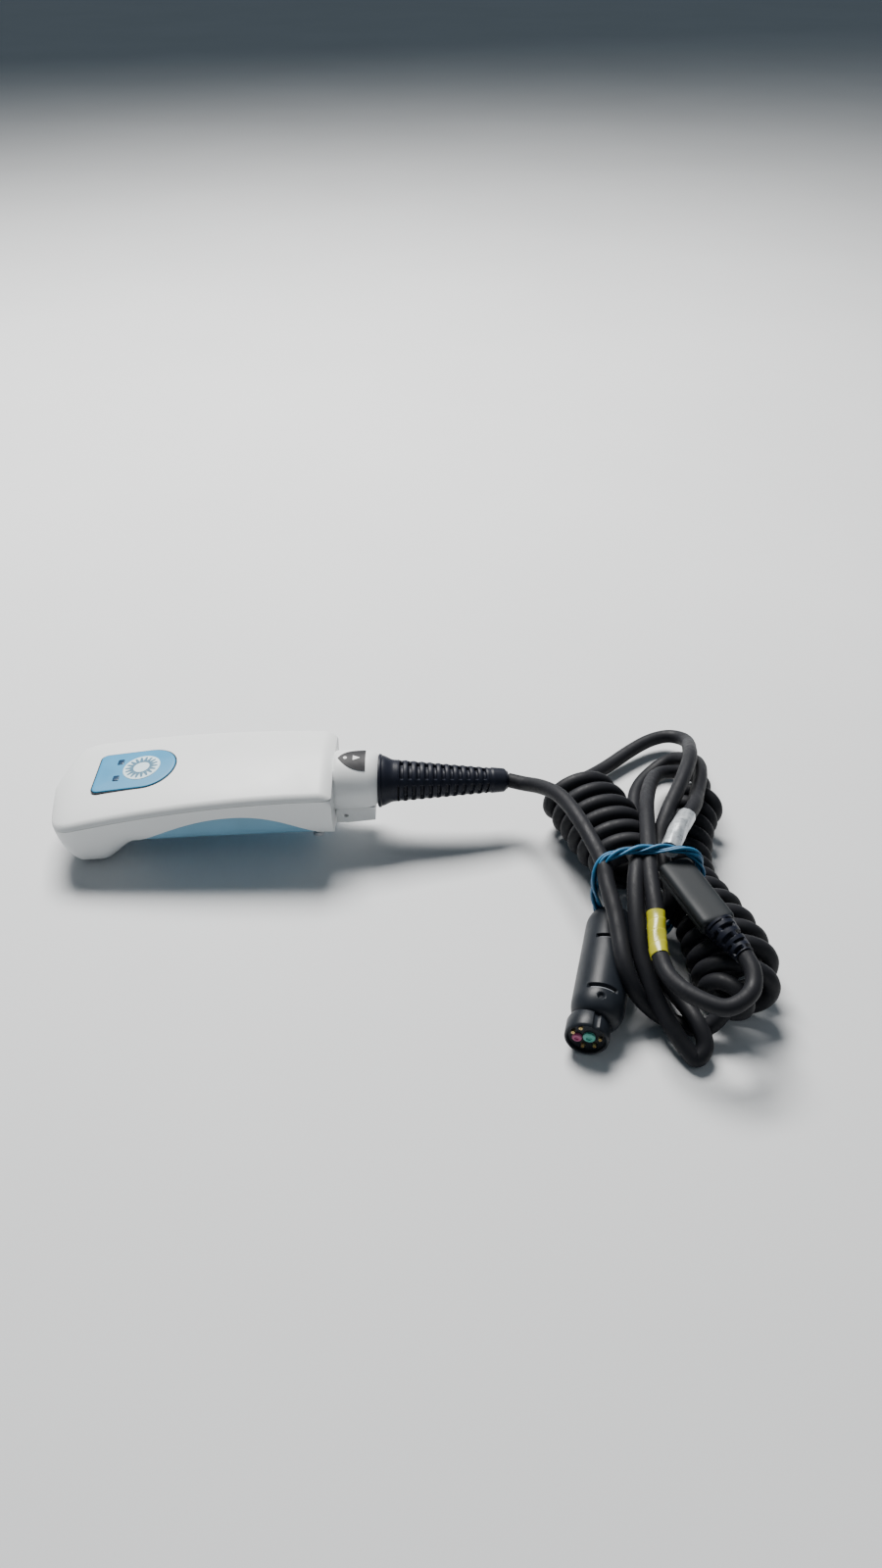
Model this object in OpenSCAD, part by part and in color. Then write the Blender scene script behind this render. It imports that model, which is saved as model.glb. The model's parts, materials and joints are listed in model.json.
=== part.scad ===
// Handheld barcode scanner with a bundled coiled lead.
// Frame: X runs along the scanner with the reading nose at -X and the cable at +X,
// Z is up, and the origin is on the ground under the middle of the scanner's body.

/* [Body] */
// Overall length of the scanner body with its cable collar
body_length = 163; // [160:1:166]
// Height of the top cover at the cable end
rear_height = 47; // [46:0.5:48]
// Half of the body's width at the cable end
rear_half_width = 28; // [27:0.5:30]
// How much each side widens towards the nose
nose_flare = 7.5; // [6:0.5:8]
// Wall thickness of the cover and the housing
wall = 2.5; // [2:0.1:3]

/* [Trigger key] */
// Width of the D-shaped key
key_width = 30; // [28:0.5:32]

/* [Cable] */
// Diameter of the round cable
cable_d = 7.4; // [6.4:0.1:7.6]
// Outer radius of the left curl of the cable
curl_r = 20; // [18:0.5:20.5]
// Length of the strain relief boot
boot_length = 62; // [56:1:64]

/* [Parts] */
// Part to show

/* [Hidden] */
$fn = 48;
nose_x = -body_length / 2;
collar_x = 58;                 // plane where the collar meets the housing
collar_end_x = body_length / 2 - 2;
bow = 0.00085;                 // curvature of the top: drop = bow * distance^2
cover_depth = 6.6;             // depth of the parting line below the top surface
edge_r = 4.4;                  // rounding of the top edges
crown = 3.2;                   // rise of the top between its edges
belly_z = 10;                  // underside of the grip above the ground
arch_x = 13;                   // highest point of the side arches
arch_top = 31.5;
key_x = -35;                   // centre of the key's round end
key_flat_x = -60;              // flat end of the key
key_slope = 8.6;               // tilt of the top surface under the key, degrees
key_z = rear_height - bow * pow(collar_x - key_x, 2);
housing_step = 0.6;            // the cover overhangs the housing by this much
emblem_r = 9.6;
light_size = [3.2, 4];         // length and width of an indicator
board_top = 25.6;              // upper face of the main board
optic_z = 15.5;                // height of the reading optics' axis
lamp_pitch = 5.6;
nose_rise = 11;                // how far the underside rises towards the tip of the nose
shoulder_drop = 3.2;           // fall of the cover's rounded rear end
collar_r = 15.2;
collar_z = 31.5;
latch_pin = [63.5, 0, 18.2];   // pivot of the clip under the collar
clip_length = 19.4;
cable_r = cable_d / 2;
curl_flatness = 0.78;          // the curls sag to this share of their width
sides = 10;                    // sides of every swept tube

white = [0.86, 0.87, 0.87];
dark = [0.09, 0.10, 0.13];
blue = [0.36, 0.61, 0.76];
pale = [0.80, 0.88, 0.92];
cable_grey = [0.19, 0.20, 0.22];

// ---------- helpers ----------

function clamp01(v) = min(1, max(0, v));
function smooth(v) = let (c = clamp01(v)) c * c * (3 - 2 * c);
function unit(v) = v / norm(v);

// A closed solid through rings of points that all have the same count
module skin(rings) {
  n = len(rings[0]);
  m = len(rings);
  faces = concat(
    [for (i = [0 : m - 2], j = [0 : n - 1])
      [i * n + j, (i + 1) * n + j, (i + 1) * n + (j + 1) % n, i * n + (j + 1) % n]],
    [[for (j = [0 : n - 1]) j]],
    [[for (j = [n - 1 : -1 : 0]) (m - 1) * n + j]]
  );
  polyhedron(points = [for (r = rings, p = r) p], faces = faces, convexity = 8);
}

// A closed ring-shaped solid: the last ring joins the first
module skin_loop(rings) {
  n = len(rings[0]);
  m = len(rings);
  faces = [for (i = [0 : m - 1], j = [0 : n - 1])
    [i * n + j, ((i + 1) % m) * n + j, ((i + 1) % m) * n + (j + 1) % n, i * n + (j + 1) % n]];
  polyhedron(points = [for (r = rings, p = r) p], faces = faces, convexity = 8);
}

function curve(a, b, c, d, t) = 0.5 * (
  2 * b + (c - a) * t + (2 * a - 5 * b + 4 * c - d) * t * t + (3 * b - a - 3 * c + d) * t * t * t);

// Points along a smooth curve through the route, several in each stretch
function route(p, steps) = let (n = len(p)) concat(
  [for (i = [0 : n - 2], k = [0 : steps - 1])
    curve(p[max(i - 1, 0)], p[i], p[i + 1], p[min(i + 2, n - 1)], k / steps)],
  [p[n - 1]]);

function heading(p, i) = unit(p[min(i + 1, len(p) - 1)] - p[max(i - 1, 0)]);

// A ring of points about c, square to the heading t and flattened from top to bottom
function hoop(c, t, r, flat = 1, up = [0, 0, 1]) =
  let (s = unit(cross(t, up)), u = cross(s, t))
  [for (k = [0 : sides - 1]) let (a = 360 * k / sides) c + r * (flat * cos(a) * u + sin(a) * s)];

module tube(points, r, steps = 3) {
  p = route(points, steps);
  skin([for (i = [0 : len(p) - 1]) hoop(p[i], heading(p, i), r)]);
}

// A tube whose route points carry their own radius as a fourth number
module tapered_tube(points, steps = 3, flat = 1) {
  p = route(points, steps);
  c = [for (q = p) [q[0], q[1], q[2]]];
  skin([for (i = [0 : len(p) - 1]) hoop(c[i], heading(c, i), p[i][3], flat)]);
}

// ---------- body shape ----------

function along(x) = clamp01((collar_x - x) / (collar_x - nose_x));
function nose_turn(x) = clamp01((-62 - x) / (-62 - nose_x));
function half_width(x) = (rear_half_width + nose_flare * pow(along(x), 1.3))
  * pow(max(1 - pow(0.985 * nose_turn(x), 3.2), 0), 0.3125);
function top_z(x) = rear_height - bow * pow(collar_x - x, 2)
  - 3.5 * pow(nose_turn(x), 4) - shoulder_drop * pow(clamp01((x - 51) / 7), 2.2);
function bottom_z(x) = -1.2 + (belly_z + 1.2) * smooth((x + 57) / 18)
  + 1.5 * clamp01((x + 30) / 80) + nose_rise * pow(clamp01((-66 - x) / 15.5), 1.2);
function low_r(x) = 18 - 4 * pow(nose_turn(x), 2);

function section(x, inset) = let (
  w = max(half_width(x) - inset, 3),
  zt = top_z(x) - inset,
  zb = bottom_z(x) + inset,
  rt = max(edge_r - inset, 1),
  rb = min(max(low_r(x) - inset, 1), w - 0.5, zt - crown - rt - zb - 0.5),
  lean = 0.3 * pow(nose_turn(x), 2),
  outline = concat(
    [for (a = [0 : 18 : 90]) [w - rb + rb * sin(a), zb + rb - rb * cos(a)]],
    [for (a = [0 : 18.75 : 75]) [w - rt + rt * cos(a), zt - crown - rt + rt * sin(a)]],
    [for (y = [0.6, 0.3, 0, -0.3, -0.6]) [w * y, zt - 1.15 * crown * y * y]],
    [for (a = [75 : -18.75 : 0]) [-(w - rt + rt * cos(a)), zt - crown - rt + rt * sin(a)]],
    [for (a = [90 : -18 : 0]) [-(w - rb + rb * sin(a)), zb + rb - rb * cos(a)]]))
  [for (q = outline) [x + lean * (zt + inset - q[1]), q[0], q[1]]];

outer_stations = [nose_x, -81, -80, -78, -75, -71, -66, -62, -57, -53, -49, -45, -41, -36,
  -28, -18, -6, 6, 18, 30, 42, 50, 53.5, 56, 57.4, collar_x];
inner_stations = [-79, -78.4, -77, -75, -71, -66, -62, -57, -53, -49, -45, -41, -36,
  -28, -18, -6, 6, 18, 30, 42, 50, 54];

module body_skin(inset, stations) {
  skin([for (x = stations) section(x, inset)]);
}

// Everything above the bowed parting line
module above_parting() {
  rotate([90, 0, 0])
    linear_extrude(height = 90, center = true)
      polygon(concat(
        [for (x = [-96 : 8 : 72]) [x, rear_height - bow * pow(collar_x - x, 2) - cover_depth]],
        [[72, 70], [-96, 70]]));
}

// Plan outline of the D-shaped key
module key_outline(grow) {
  union() {
    translate([key_x, 0]) circle(r = key_width / 2 + grow);
    translate([key_flat_x - grow, -key_width / 2 - grow])
      square([key_x - key_flat_x + grow, key_width + 2 * grow]);
  }
}

// Places a flat piece in the sloping plane of the key
module on_key_plane(lift) {
  translate([key_x, 0, key_z])
    rotate([0, -key_slope, 0])
      translate([-key_x, 0, lift])
        children();
}

screw_spots = [[50, -17], [50, 17], [-54, -20], [-54, 20]];

module at_screws() {
  for (s = screw_spots) translate([s[0], s[1], 0]) children();
}

// ---------- housing ----------

module top_cover() {
  color(white)
    difference() {
      intersection() {
        difference() {
          body_skin(0, outer_stations);
          body_skin(wall, inner_stations);
        }
        above_parting();
      }
      on_key_plane(-7) linear_extrude(height = 14) key_outline(0.7);
    }
}

// Opening in both side walls: a long arc towards the nose and a shorter one towards the cable
module side_arch(gap = 0) {
  rotate([90, 0, 0])
    linear_extrude(height = 90, center = true) {
      intersection() {
        translate([arch_x, arch_top - 84]) circle(r = 84 - gap, $fn = 96);
        translate([-60 + gap, -3]) square([arch_x + 60 - gap, 42]);
      }
      intersection() {
        translate([arch_x, arch_top - 58]) circle(r = 58 - gap, $fn = 96);
        translate([arch_x - 1, -3]) square([38.5 - gap, 42]);
      }
    }
}

module lower_housing() {
  color(white)
    difference() {
      union() {
        difference() {
          body_skin(housing_step, outer_stations);
          body_skin(wall, inner_stations);
          side_arch();
        }
        intersection() {
          at_screws() translate([0, 0, 1]) cylinder(r = 3.6, h = 26);
          body_skin(1, outer_stations);
        }
      }
      above_parting();
      translate([-100, -50, -5]) cube([200, 100, 5]);
      translate([-90, -22.6, 9.9]) cube([16, 45.2, 10.7]);
      at_screws() translate([0, 0, -5]) cylinder(r = 1.7, h = 60);
      at_screws() translate([0, 0, -5]) cylinder(r = 3, h = 19);
      translate([53, -30, 17]) rotate([-90, 0, 0]) cylinder(r = 2, h = 7.6);
      translate([collar_x - 6, 0, collar_z]) rotate([0, 90, 0]) cylinder(r = 9.6, h = 12);
    }
}

// The grip fills the arches flush with the housing and carries on behind its walls
module grip_insert() {
  color(blue)
    difference() {
      union() {
        intersection() {
          difference() {
            body_skin(wall + 0.05, grip_outer_stations);
            body_skin(wall + 2.6, grip_inner_stations);
          }
          translate([-60, -50, 0]) cube([120, 100, 31]);
        }
        intersection() {
          difference() {
            body_skin(housing_step + 0.3, grip_outer_stations);
            body_skin(wall + 0.6, grip_inner_stations);
          }
          side_arch(0.3);
        }
      }
      at_screws() translate([0, 0, -5]) cylinder(r = 3.8, h = 60);
      translate([40, -16, 16]) cube([20, 32, 20]);
      translate([-50, -20, 22]) cube([10, 40, 12]);
    }
}

grip_outer_stations = [-45, -41, -36, -28, -18, -6, 6, 18, 30, 42, 50.5];
grip_inner_stations = [-42.5, -36, -28, -18, -6, 6, 18, 30, 42, 48];

module window_bezel() {
  color(dark)
    difference() {
      intersection() {
        translate([-81, -22.5, 10]) cube([8.5, 45, 10.5]);
        body_skin(housing_step + 0.1, outer_stations);
      }
      translate([-90, -20, 11.6]) cube([30, 40, 7.2]);
    }
}

module reading_window() {
  color([0.55, 0.12, 0.14, 0.6])
    translate([-74.6, -20, 11.6]) cube([1.6, 40, 7.2]);
}

// ---------- key and lights ----------

module panel_gasket() {
  color(dark)
    difference() {
      intersection() {
        on_key_plane(-3.2) linear_extrude(height = 6) key_outline(0.65);
        body_skin(-0.1, outer_stations);
      }
      on_key_plane(-5) linear_extrude(height = 9) key_outline(0.25);
    }
}

// The key follows the crowned top of the cover and stands a little proud of it
module trigger_key() {
  color(blue)
    difference() {
      union() {
        intersection() {
          on_key_plane(-2.2) linear_extrude(height = 6) key_outline(0);
          body_skin(-0.5, outer_stations);
        }
        on_key_plane(-8.2) translate([-36, 0, 0]) cylinder(r = 3, h = 7);
      }
      on_key_plane(0) translate([key_x - 2, 0, 0]) cylinder(r = emblem_r, h = 3);
      for (side = [-1, 1])
        on_key_plane(-4) light_spot(side) cube([light_size[0], light_size[1], 8]);
    }
}

module key_emblem() {
  color(pale)
    on_key_plane(0)
      translate([key_x - 2, 0, 0])
        difference() {
          cylinder(r = emblem_r, h = 0.7, $fn = 64);
          for (k = [0 : 17])
            rotate(k * 20) translate([5, -0.4, 0.4]) cube([3, 0.8, 1]);
        }
}

module light_spot(side) {
  translate([-50.4, side * 6.5 - light_size[1] / 2, 0]) children();
}

module status_lights() {
  color([0.12, 0.28, 0.42])
    for (side = [-1, 1])
      on_key_plane(-2.2) light_spot(side) cube([light_size[0], light_size[1], 2.8]);
}

// ---------- inside ----------

module main_board() {
  color([0.05, 0.32, 0.18])
    translate([-43, -19, board_top - 1.6]) cube([86, 38, 1.6]);
}

module board_chips() {
  color([0.12, 0.12, 0.13]) {
    translate([-10, -7, board_top]) cube([14, 14, 1.4]);
    translate([14, -12, board_top]) cube([10, 8, 1.4]);
    translate([10, 4, board_top]) cube([6, 6, 1.2]);
    translate([-4, 12, board_top]) cube([5, 4, 1.2]);
  }
}

module trigger_switch() {
  color([0.2, 0.2, 0.22]) {
    translate([-39, -3, board_top]) cube([6, 6, 3.4]);
    translate([-36, 0, 28]) cylinder(r = 1.7, h = 1.5);
  }
}

module beeper() {
  color([0.14, 0.14, 0.15])
    difference() {
      translate([26, 9, board_top]) cylinder(r = 5.5, h = 5);
      translate([26, 9, 30]) cylinder(r = 1, h = 2);
    }
}

module board_socket() {
  color([0.85, 0.84, 0.78])
    difference() {
      translate([33.5, -6, board_top]) cube([9, 12, 6]);
      translate([35, -4.8, 27.5]) cube([9, 9.6, 2.8]);
    }
}

module sensor_board() {
  color([0.05, 0.32, 0.18])
    translate([-49.6, -16, 9]) cube([1.4, 32, 14]);
}

module line_sensor() {
  color([0.16, 0.15, 0.17])
    translate([-51.6, -14, 12.5]) cube([2, 28, 6]);
}

module lens_barrel() {
  color(dark)
    difference() {
      translate([-63.6, 0, optic_z]) rotate([0, 90, 0]) cylinder(r = 5, h = 12);
      translate([-65, 0, optic_z]) rotate([0, 90, 0]) cylinder(r = 3.2, h = 14);
    }
}

module lens_glass() {
  color([0.75, 0.85, 0.9, 0.5])
    translate([-61.6, 0, optic_z]) rotate([0, 90, 0]) cylinder(r = 3.2, h = 2);
}

module light_bar() {
  color([0.9, 0.9, 0.88])
    difference() {
      translate([-68, -20, 6.2]) cube([2, 40, 3.2]);
      for (k = [-3 : 3]) translate([-69, k * lamp_pitch - 1.2, 6.8]) cube([1.4, 2.4, 2]);
    }
}

module lamp_row() {
  color([0.8, 0.2, 0.18])
    for (k = [-3 : 3]) translate([-68.2, k * lamp_pitch - 1.2, 6.8]) cube([0.6, 2.4, 2]);
}

module housing_screws() {
  color([0.6, 0.6, 0.62])
    at_screws() {
      translate([0, 0, 14]) cylinder(r = 1.5, h = 15);
      difference() {
        translate([0, 0, 12]) cylinder(r = 2.8, h = 2);
        translate([0, 0, 11]) cylinder(r = 1.2, h = 2.2, $fn = 6);
      }
    }
}

// ---------- collar ----------

module collar_shape() {
  translate([collar_x, 0, collar_z])
    rotate([0, 90, 0])
      rotate_extrude($fn = 96)
        polygon([
          [8, 0], [collar_r - 1, 0], [collar_r - 0.2, 1], [collar_r, 3], [collar_r, 16],
          [collar_r - 0.4, 18.5], [collar_r - 1.3, 20.4], [collar_r - 2.4, 21.5], [8, 21.5]]);
}

// Wedge under the collar: the seam above it and its own underside both rise to the cable
module clip_wedge(seam_gap) {
  rotate([90, 0, 0])
    linear_extrude(height = 40, center = true)
      polygon([[collar_x - 8, 12], [collar_end_x + 8, 17], [collar_end_x + 8, 27.2 - seam_gap],
        [collar_x - 8, 22.2 - seam_gap]]);
}

module cable_collar() {
  color(white)
    difference() {
      union() {
        difference() {
          collar_shape();
          clip_wedge(0);
        }
        for (side = [-1, 1])
          translate([61, side * 8 - 1.2, latch_pin[2] - 2.2]) cube([5, 2.4, 9.8]);
      }
      translate(latch_pin) rotate([90, 0, 0]) cylinder(r = 1.1, h = 30, center = true);
    }
}

module clip_pin() {
  color([0.6, 0.6, 0.62])
    translate(latch_pin) rotate([90, 0, 0]) cylinder(r = 1.05, h = 20, center = true);
}

module collar_clip() {
  color(white)
    difference() {
      intersection() {
        union() {
          translate([collar_x + 0.6, -11.4, 14]) cube([clip_length, 22.8, 13]);
          translate([collar_x + 0.6, 0, collar_z])
            rotate([0, 90, 0]) cylinder(r = collar_r - 0.2, h = clip_length);
        }
        clip_wedge(0.6);
        translate([collar_x + 0.6, -14, 0]) cube([clip_length, 28, 40]);
      }
      translate([collar_x - 1, 0, collar_z]) rotate([0, 90, 0]) cylinder(r = 10.4, h = 30);
      translate(latch_pin) rotate([90, 0, 0]) cylinder(r = 1.1, h = 40, center = true);
      for (side = [-1, 1])
        translate([58, side * 8 - 1.7, 10]) cube([9.5, 3.4, 20]);
    }
}

// The mark lies on the collar's upper near side
module on_mark() {
  translate([67, 0, collar_z]) rotate([6, 0, 0]) translate([0, 0, collar_r]) children();
}

module mark_outline() {
  intersection() {
    translate([6, 7.5]) circle(r = 15);
    translate([6, -7.5]) circle(r = 15);
    translate([-8, -8]) square([14.5, 16]);
  }
}

// A thin plate bent over the collar
module collar_mark() {
  color([0.26, 0.26, 0.27])
    difference() {
      intersection() {
        on_mark() translate([0, 0, -6]) linear_extrude(height = 8) mark_outline();
        translate([50, 0, collar_z]) rotate([0, 90, 0]) cylinder(r = collar_r + 0.3, h = 40, $fn = 96);
      }
      translate([49, 0, collar_z]) rotate([0, 90, 0]) cylinder(r = collar_r + 0.02, h = 42, $fn = 96);
    }
}

module collar_seal() {
  color(dark)
    translate([collar_end_x, 0, collar_z])
      rotate([0, 90, 0])
        rotate_extrude($fn = 96)
          polygon([[8.2, 0], [12.8, 0], [13.4, 0.5], [13.2, 1.6], [12.2, 2], [8.2, 2]]);
}

module cable_plug() {
  color(dark)
    translate([collar_x - 6, 0, collar_z])
      rotate([0, 90, 0]) {
        cylinder(r = 7.9, h = body_length / 2 - collar_x + 6);
        translate([0, 0, -3]) cylinder(r = 5, h = 3);
      }
}

// ---------- cable and what is on it ----------

function boot_radius(s) = 11 - 5.6 * s - 0.35 * cos(360 * s * 13) * (s < 0.9 ? 1 : 0);

module strain_boot() {
  rings = 60;
  points = [for (i = [0 : rings]) let (s = i / rings)
    [body_length / 2 + boot_length * s, 5 * s * s, collar_z - 3.5 * s * s]];
  color(dark)
    skin([for (i = [0 : rings]) hoop(points[i], heading(points, i), boot_radius(i / rings))]);
}

// From the boot, over the left curl, down under the band and into the right curl
lead_route = [[144, 5, 28], [152, 2, 28], [160, -7, 33], [168, -22, 39], [175, -42, 41],
  [180, -58, 40], [183, -70, 39], [184, -81, 36], [186, -94, 33], [187, -106, 30],
  [188, -118, 26], [192, -126, 18], [199, -128, 9], [206, -131, 5], [214, -135, 5],
  [222, -138, 7], [228, -138, 11]];

// From the right curl's top end, back over the bundle, through the tape and round to the coupler
middle_route = [[245, 14, 13], [247, 20, 13], [244, 31, 11], [234, 34, 11], [223, 25, 16],
  [215, 2, 27], [209, -24, 36], [206, -46, 40], [204, -66, 41], [203, -78, 40], [203, -90, 38],
  [203, -102, 35], [202, -111, 34], [202, -121, 33], [204, -131, 32], [208, -138, 32],
  [213, -143, 32], [219, -147, 32], [225, -149, 32], [232, -146, 33], [237, -140, 34],
  [238, -132, 36], [236, -125, 37]];

// From the coupler's sleeve, round the inner loop and back low under the bundle
tail_route = [[215, -60, 40], [220, -48, 40], [226, -36, 38], [232, -24, 35], [236, -10, 31],
  [241, 8, 29], [243, 24, 24], [241, 37, 17], [234, 46, 10], [224, 42, 5], [214, 28, 4],
  [210, 8, 4], [209, -20, 4], [208, -44, 4], [206, -62, 7], [208, -76, 13], [213, -80, 20],
  [215, -72, 26], [213, -60, 30]];

// From there round the outer loop to the far end of the left curl
loop_route = [[213, -60, 30], [212, -48, 32], [217, -34, 38], [227, -12, 40], [235, 10, 38],
  [239, 30, 29], [243, 49, 18], [243, 62, 12], [236, 69, 9], [225, 66, 8], [213, 57, 7],
  [202, 47, 6], [192, 37, 7], [183, 26, 11], [177, 19, 16]];

// From the left curl's near end down the front, round the hairpin and back to the ferrite
plug_route = [[199, -62, 36], [198, -71, 40], [196, -82, 39], [195, -94, 36], [195, -105, 31],
  [196, -115, 25], [199, -124, 19], [203, -133, 13], [208, -142, 9], [212, -148, 6],
  [216, -152, 4], [220, -147, 7], [217, -138, 12], [212, -125, 11], [207, -112, 9],
  [205, -98, 8], [204, -86, 5], [200, -77, 5], [195, -73, 9], [190, -78, 12]];

module scanner_lead() {
  color(cable_grey) tube(lead_route, cable_r);
}

module middle_lead() {
  color(cable_grey) tube(middle_route, cable_r);
}

module tail_lead() {
  color(cable_grey) tube(tail_route, cable_r);
}

module loop_lead() {
  color(cable_grey) tube(loop_route, cable_r);
}

module plug_lead() {
  color(cable_grey) tube(plug_route, cable_r);
}

// The curly stretches, each as one thick tube of its outer size
right_curl_route = [[229, -135, 14, 11], [235, -127, 15, 17], [237, -115, 16, 20],
  [236, -103, 16, 20], [234, -90, 16, 18.5], [230, -76, 16, 17], [227, -61, 15, 14.5],
  [227, -44, 14, 13.5], [230, -28, 14, 13.5], [234, -13, 14, 13.5], [239, 0, 14, 14],
  [244, 11, 14, 14]];

left_curl_route = [[175, 15, 17, 16], [180, 4, 17, 20], [187, -10, 17, curl_r + 0.5],
  [193, -26, 17, curl_r + 0.5], [198, -42, 18, 18], [200, -53, 20, 15]];

module curl_right() {
  color(cable_grey) tapered_tube(right_curl_route, flat = curl_flatness);
}

module curl_left() {
  color(cable_grey) tapered_tube(left_curl_route, flat = curl_flatness);
}

module tape_wrap() {
  color([0.62, 0.62, 0.18])
    intersection() {
      tube(middle_route, cable_r + 0.5);
      translate([190, -122, 20]) cube([30, 24, 30]);
    }
}

module coupler_relief() {
  color(dark)
    tapered_tube([[236, -125, 37, 4.4], [234, -120, 37, 5], [231, -115, 38, 6], [228, -109, 38.5, 6.5]]);
}

module coupler_body() {
  color([0.24, 0.25, 0.27])
    translate([228, -109, 38.5])
      rotate([0, 0, 110])
        difference() {
          translate([0, -8, -4.5]) cube([40, 16, 9]);
          for (side = [-1, 1])
            translate([-1, side * 8, 0]) rotate([0, 90, 0]) rotate([0, 0, 45])
              translate([-1, -1, 0]) cube([2, 2, 50]);
        }
}

module coupler_sleeve() {
  color([0.66, 0.69, 0.72])
    tapered_tube([[214, -62, 40, 4.4], [220, -48, 40, 4.6], [226, -36, 38, 4.4]]);
}

ferrite_angle = 257;           // heading of the ferrite's axis in plan, degrees
ferrite_top = [189, -78, 12];
ferrite_r = 11.5;
ferrite_length = 63;
latch_spots = [21, 51];        // places of the latch slots along the case
plug_r = 9.4;
plug_offset = [2.4, -2.6];     // the plug sits lower than the case and to one side

module on_ferrite() {
  translate(ferrite_top) rotate([0, 0, ferrite_angle]) rotate([0, 90, 0]) children();
}

module ferrite_case() {
  color(dark)
    on_ferrite()
      difference() {
        rotate_extrude($fn = 64)
          polygon([[0, 0], [ferrite_r - 4.5, 0], [ferrite_r - 1.6, 1.6], [ferrite_r - 0.3, 4.6],
            [ferrite_r, 8], [ferrite_r, ferrite_length - 9], [ferrite_r - 0.4, ferrite_length - 5],
            [ferrite_r - 2, ferrite_length - 1.8], [ferrite_r - 4.5, ferrite_length],
            [0, ferrite_length]]);
        for (z = latch_spots)
          translate([-ferrite_r - 1, -6, z]) cube([2.2, 12, 2.4]);
      }
}

module ferrite_latches() {
  color([0.3, 0.31, 0.33])
    on_ferrite()
      for (z = latch_spots)
        translate([-ferrite_r + 0.9, -4.5, z + 1.2]) cube([0.5, 9, 1.2]);
}

module at_plug(z) {
  on_ferrite() translate([plug_offset[0], plug_offset[1], z]) children();
}

module end_plug() {
  color(dark)
    difference() {
      at_plug(ferrite_length) cylinder(r = plug_r, h = 8);
      at_plug(ferrite_length + 6) cylinder(r = plug_r - 1.2, h = 4);
    }
}

module plug_contacts() {
  color([0.8, 0.6, 0.3])
    at_plug(ferrite_length + 6)
      for (k = [0 : 5])
        rotate(60 * k) translate([5, 0, 0]) cylinder(r = 0.7, h = 1.6);
}

band_route = [[183, -76, 13], [180, -75, 24], [180, -74, 34], [184, -71, 42], [192, -69, 45],
  [202, -68, 46], [212, -69, 47], [221, -71, 46], [226, -73, 40], [226, -75, 30], [221, -76, 17],
  [214, -77, 5], [204, -78, 3], [192, -78, 3]];

module rubber_band() {
  n = len(band_route);
  steps = 3;
  points = [for (i = [0 : n - 1], k = [0 : steps - 1])
    curve(band_route[(i + n - 1) % n], band_route[i], band_route[(i + 1) % n],
      band_route[(i + 2) % n], k / steps)];
  m = len(points);
  color([0.10, 0.38, 0.55])
    skin_loop([for (i = [0 : m - 1])
      let (t = unit(points[(i + 1) % m] - points[(i + m - 1) % m]))
      hoop(points[i], t, 1.8, 1, [0, 1, 0])]);
}

top_cover();
lower_housing();
grip_insert();
window_bezel();
reading_window();
panel_gasket();
trigger_key();
key_emblem();
status_lights();
trigger_switch();
main_board();
board_chips();
beeper();
board_socket();
sensor_board();
line_sensor();
lens_barrel();
lens_glass();
light_bar();
lamp_row();
housing_screws();
cable_collar();
collar_clip();
clip_pin();
collar_mark();
collar_seal();
cable_plug();
strain_boot();
scanner_lead();
curl_right();
middle_lead();
tape_wrap();
coupler_relief();
coupler_body();
coupler_sleeve();
tail_lead();
curl_left();
loop_lead();
plug_lead();
ferrite_case();
ferrite_latches();
end_plug();
plug_contacts();
rubber_band();
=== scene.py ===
"""Looks for the handheld barcode scanner with its bundled coiled lead. Metres, in the part's own frame."""

import json
import math

import bmesh
import bpy
from mathutils import Matrix, Vector


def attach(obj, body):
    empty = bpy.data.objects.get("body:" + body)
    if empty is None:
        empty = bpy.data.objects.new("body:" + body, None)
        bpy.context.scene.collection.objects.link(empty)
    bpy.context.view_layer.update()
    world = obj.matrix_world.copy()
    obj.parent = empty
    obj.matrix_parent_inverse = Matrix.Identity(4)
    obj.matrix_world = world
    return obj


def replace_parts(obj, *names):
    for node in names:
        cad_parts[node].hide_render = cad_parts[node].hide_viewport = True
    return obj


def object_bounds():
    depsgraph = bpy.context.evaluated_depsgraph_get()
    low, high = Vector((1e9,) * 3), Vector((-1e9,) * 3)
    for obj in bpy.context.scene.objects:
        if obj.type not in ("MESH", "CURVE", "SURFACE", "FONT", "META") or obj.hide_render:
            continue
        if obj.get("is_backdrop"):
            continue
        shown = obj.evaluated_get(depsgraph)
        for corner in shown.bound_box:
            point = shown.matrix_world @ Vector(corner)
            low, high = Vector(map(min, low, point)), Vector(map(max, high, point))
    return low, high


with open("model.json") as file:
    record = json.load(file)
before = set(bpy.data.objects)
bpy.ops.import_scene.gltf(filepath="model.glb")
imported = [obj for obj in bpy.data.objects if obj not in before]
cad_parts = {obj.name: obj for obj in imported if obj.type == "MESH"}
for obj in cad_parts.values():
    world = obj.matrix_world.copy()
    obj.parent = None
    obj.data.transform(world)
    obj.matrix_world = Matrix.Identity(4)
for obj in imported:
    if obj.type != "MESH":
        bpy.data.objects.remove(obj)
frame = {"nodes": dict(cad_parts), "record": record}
cad_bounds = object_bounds()

UP = Vector((0, 0, 1))

# ---------------------------------------------------------------- camera

CAMERA_PLACE = (0.1105, -0.477, 0.402)
CAMERA_LOOKS_DOWN = 38
CAMERA_LENS = 27.9


def make_camera():
    data = bpy.data.cameras.new("camera")
    data.lens = CAMERA_LENS
    data.sensor_width = 36
    data.clip_start = 0.01
    camera = bpy.data.objects.new("camera", data)
    camera.location = CAMERA_PLACE
    camera.rotation_euler = (math.radians(90 - CAMERA_LOOKS_DOWN), 0, 0)
    bpy.context.scene.collection.objects.link(camera)
    bpy.context.scene.camera = camera


make_camera()

# ---------------------------------------------------------------- materials


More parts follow.
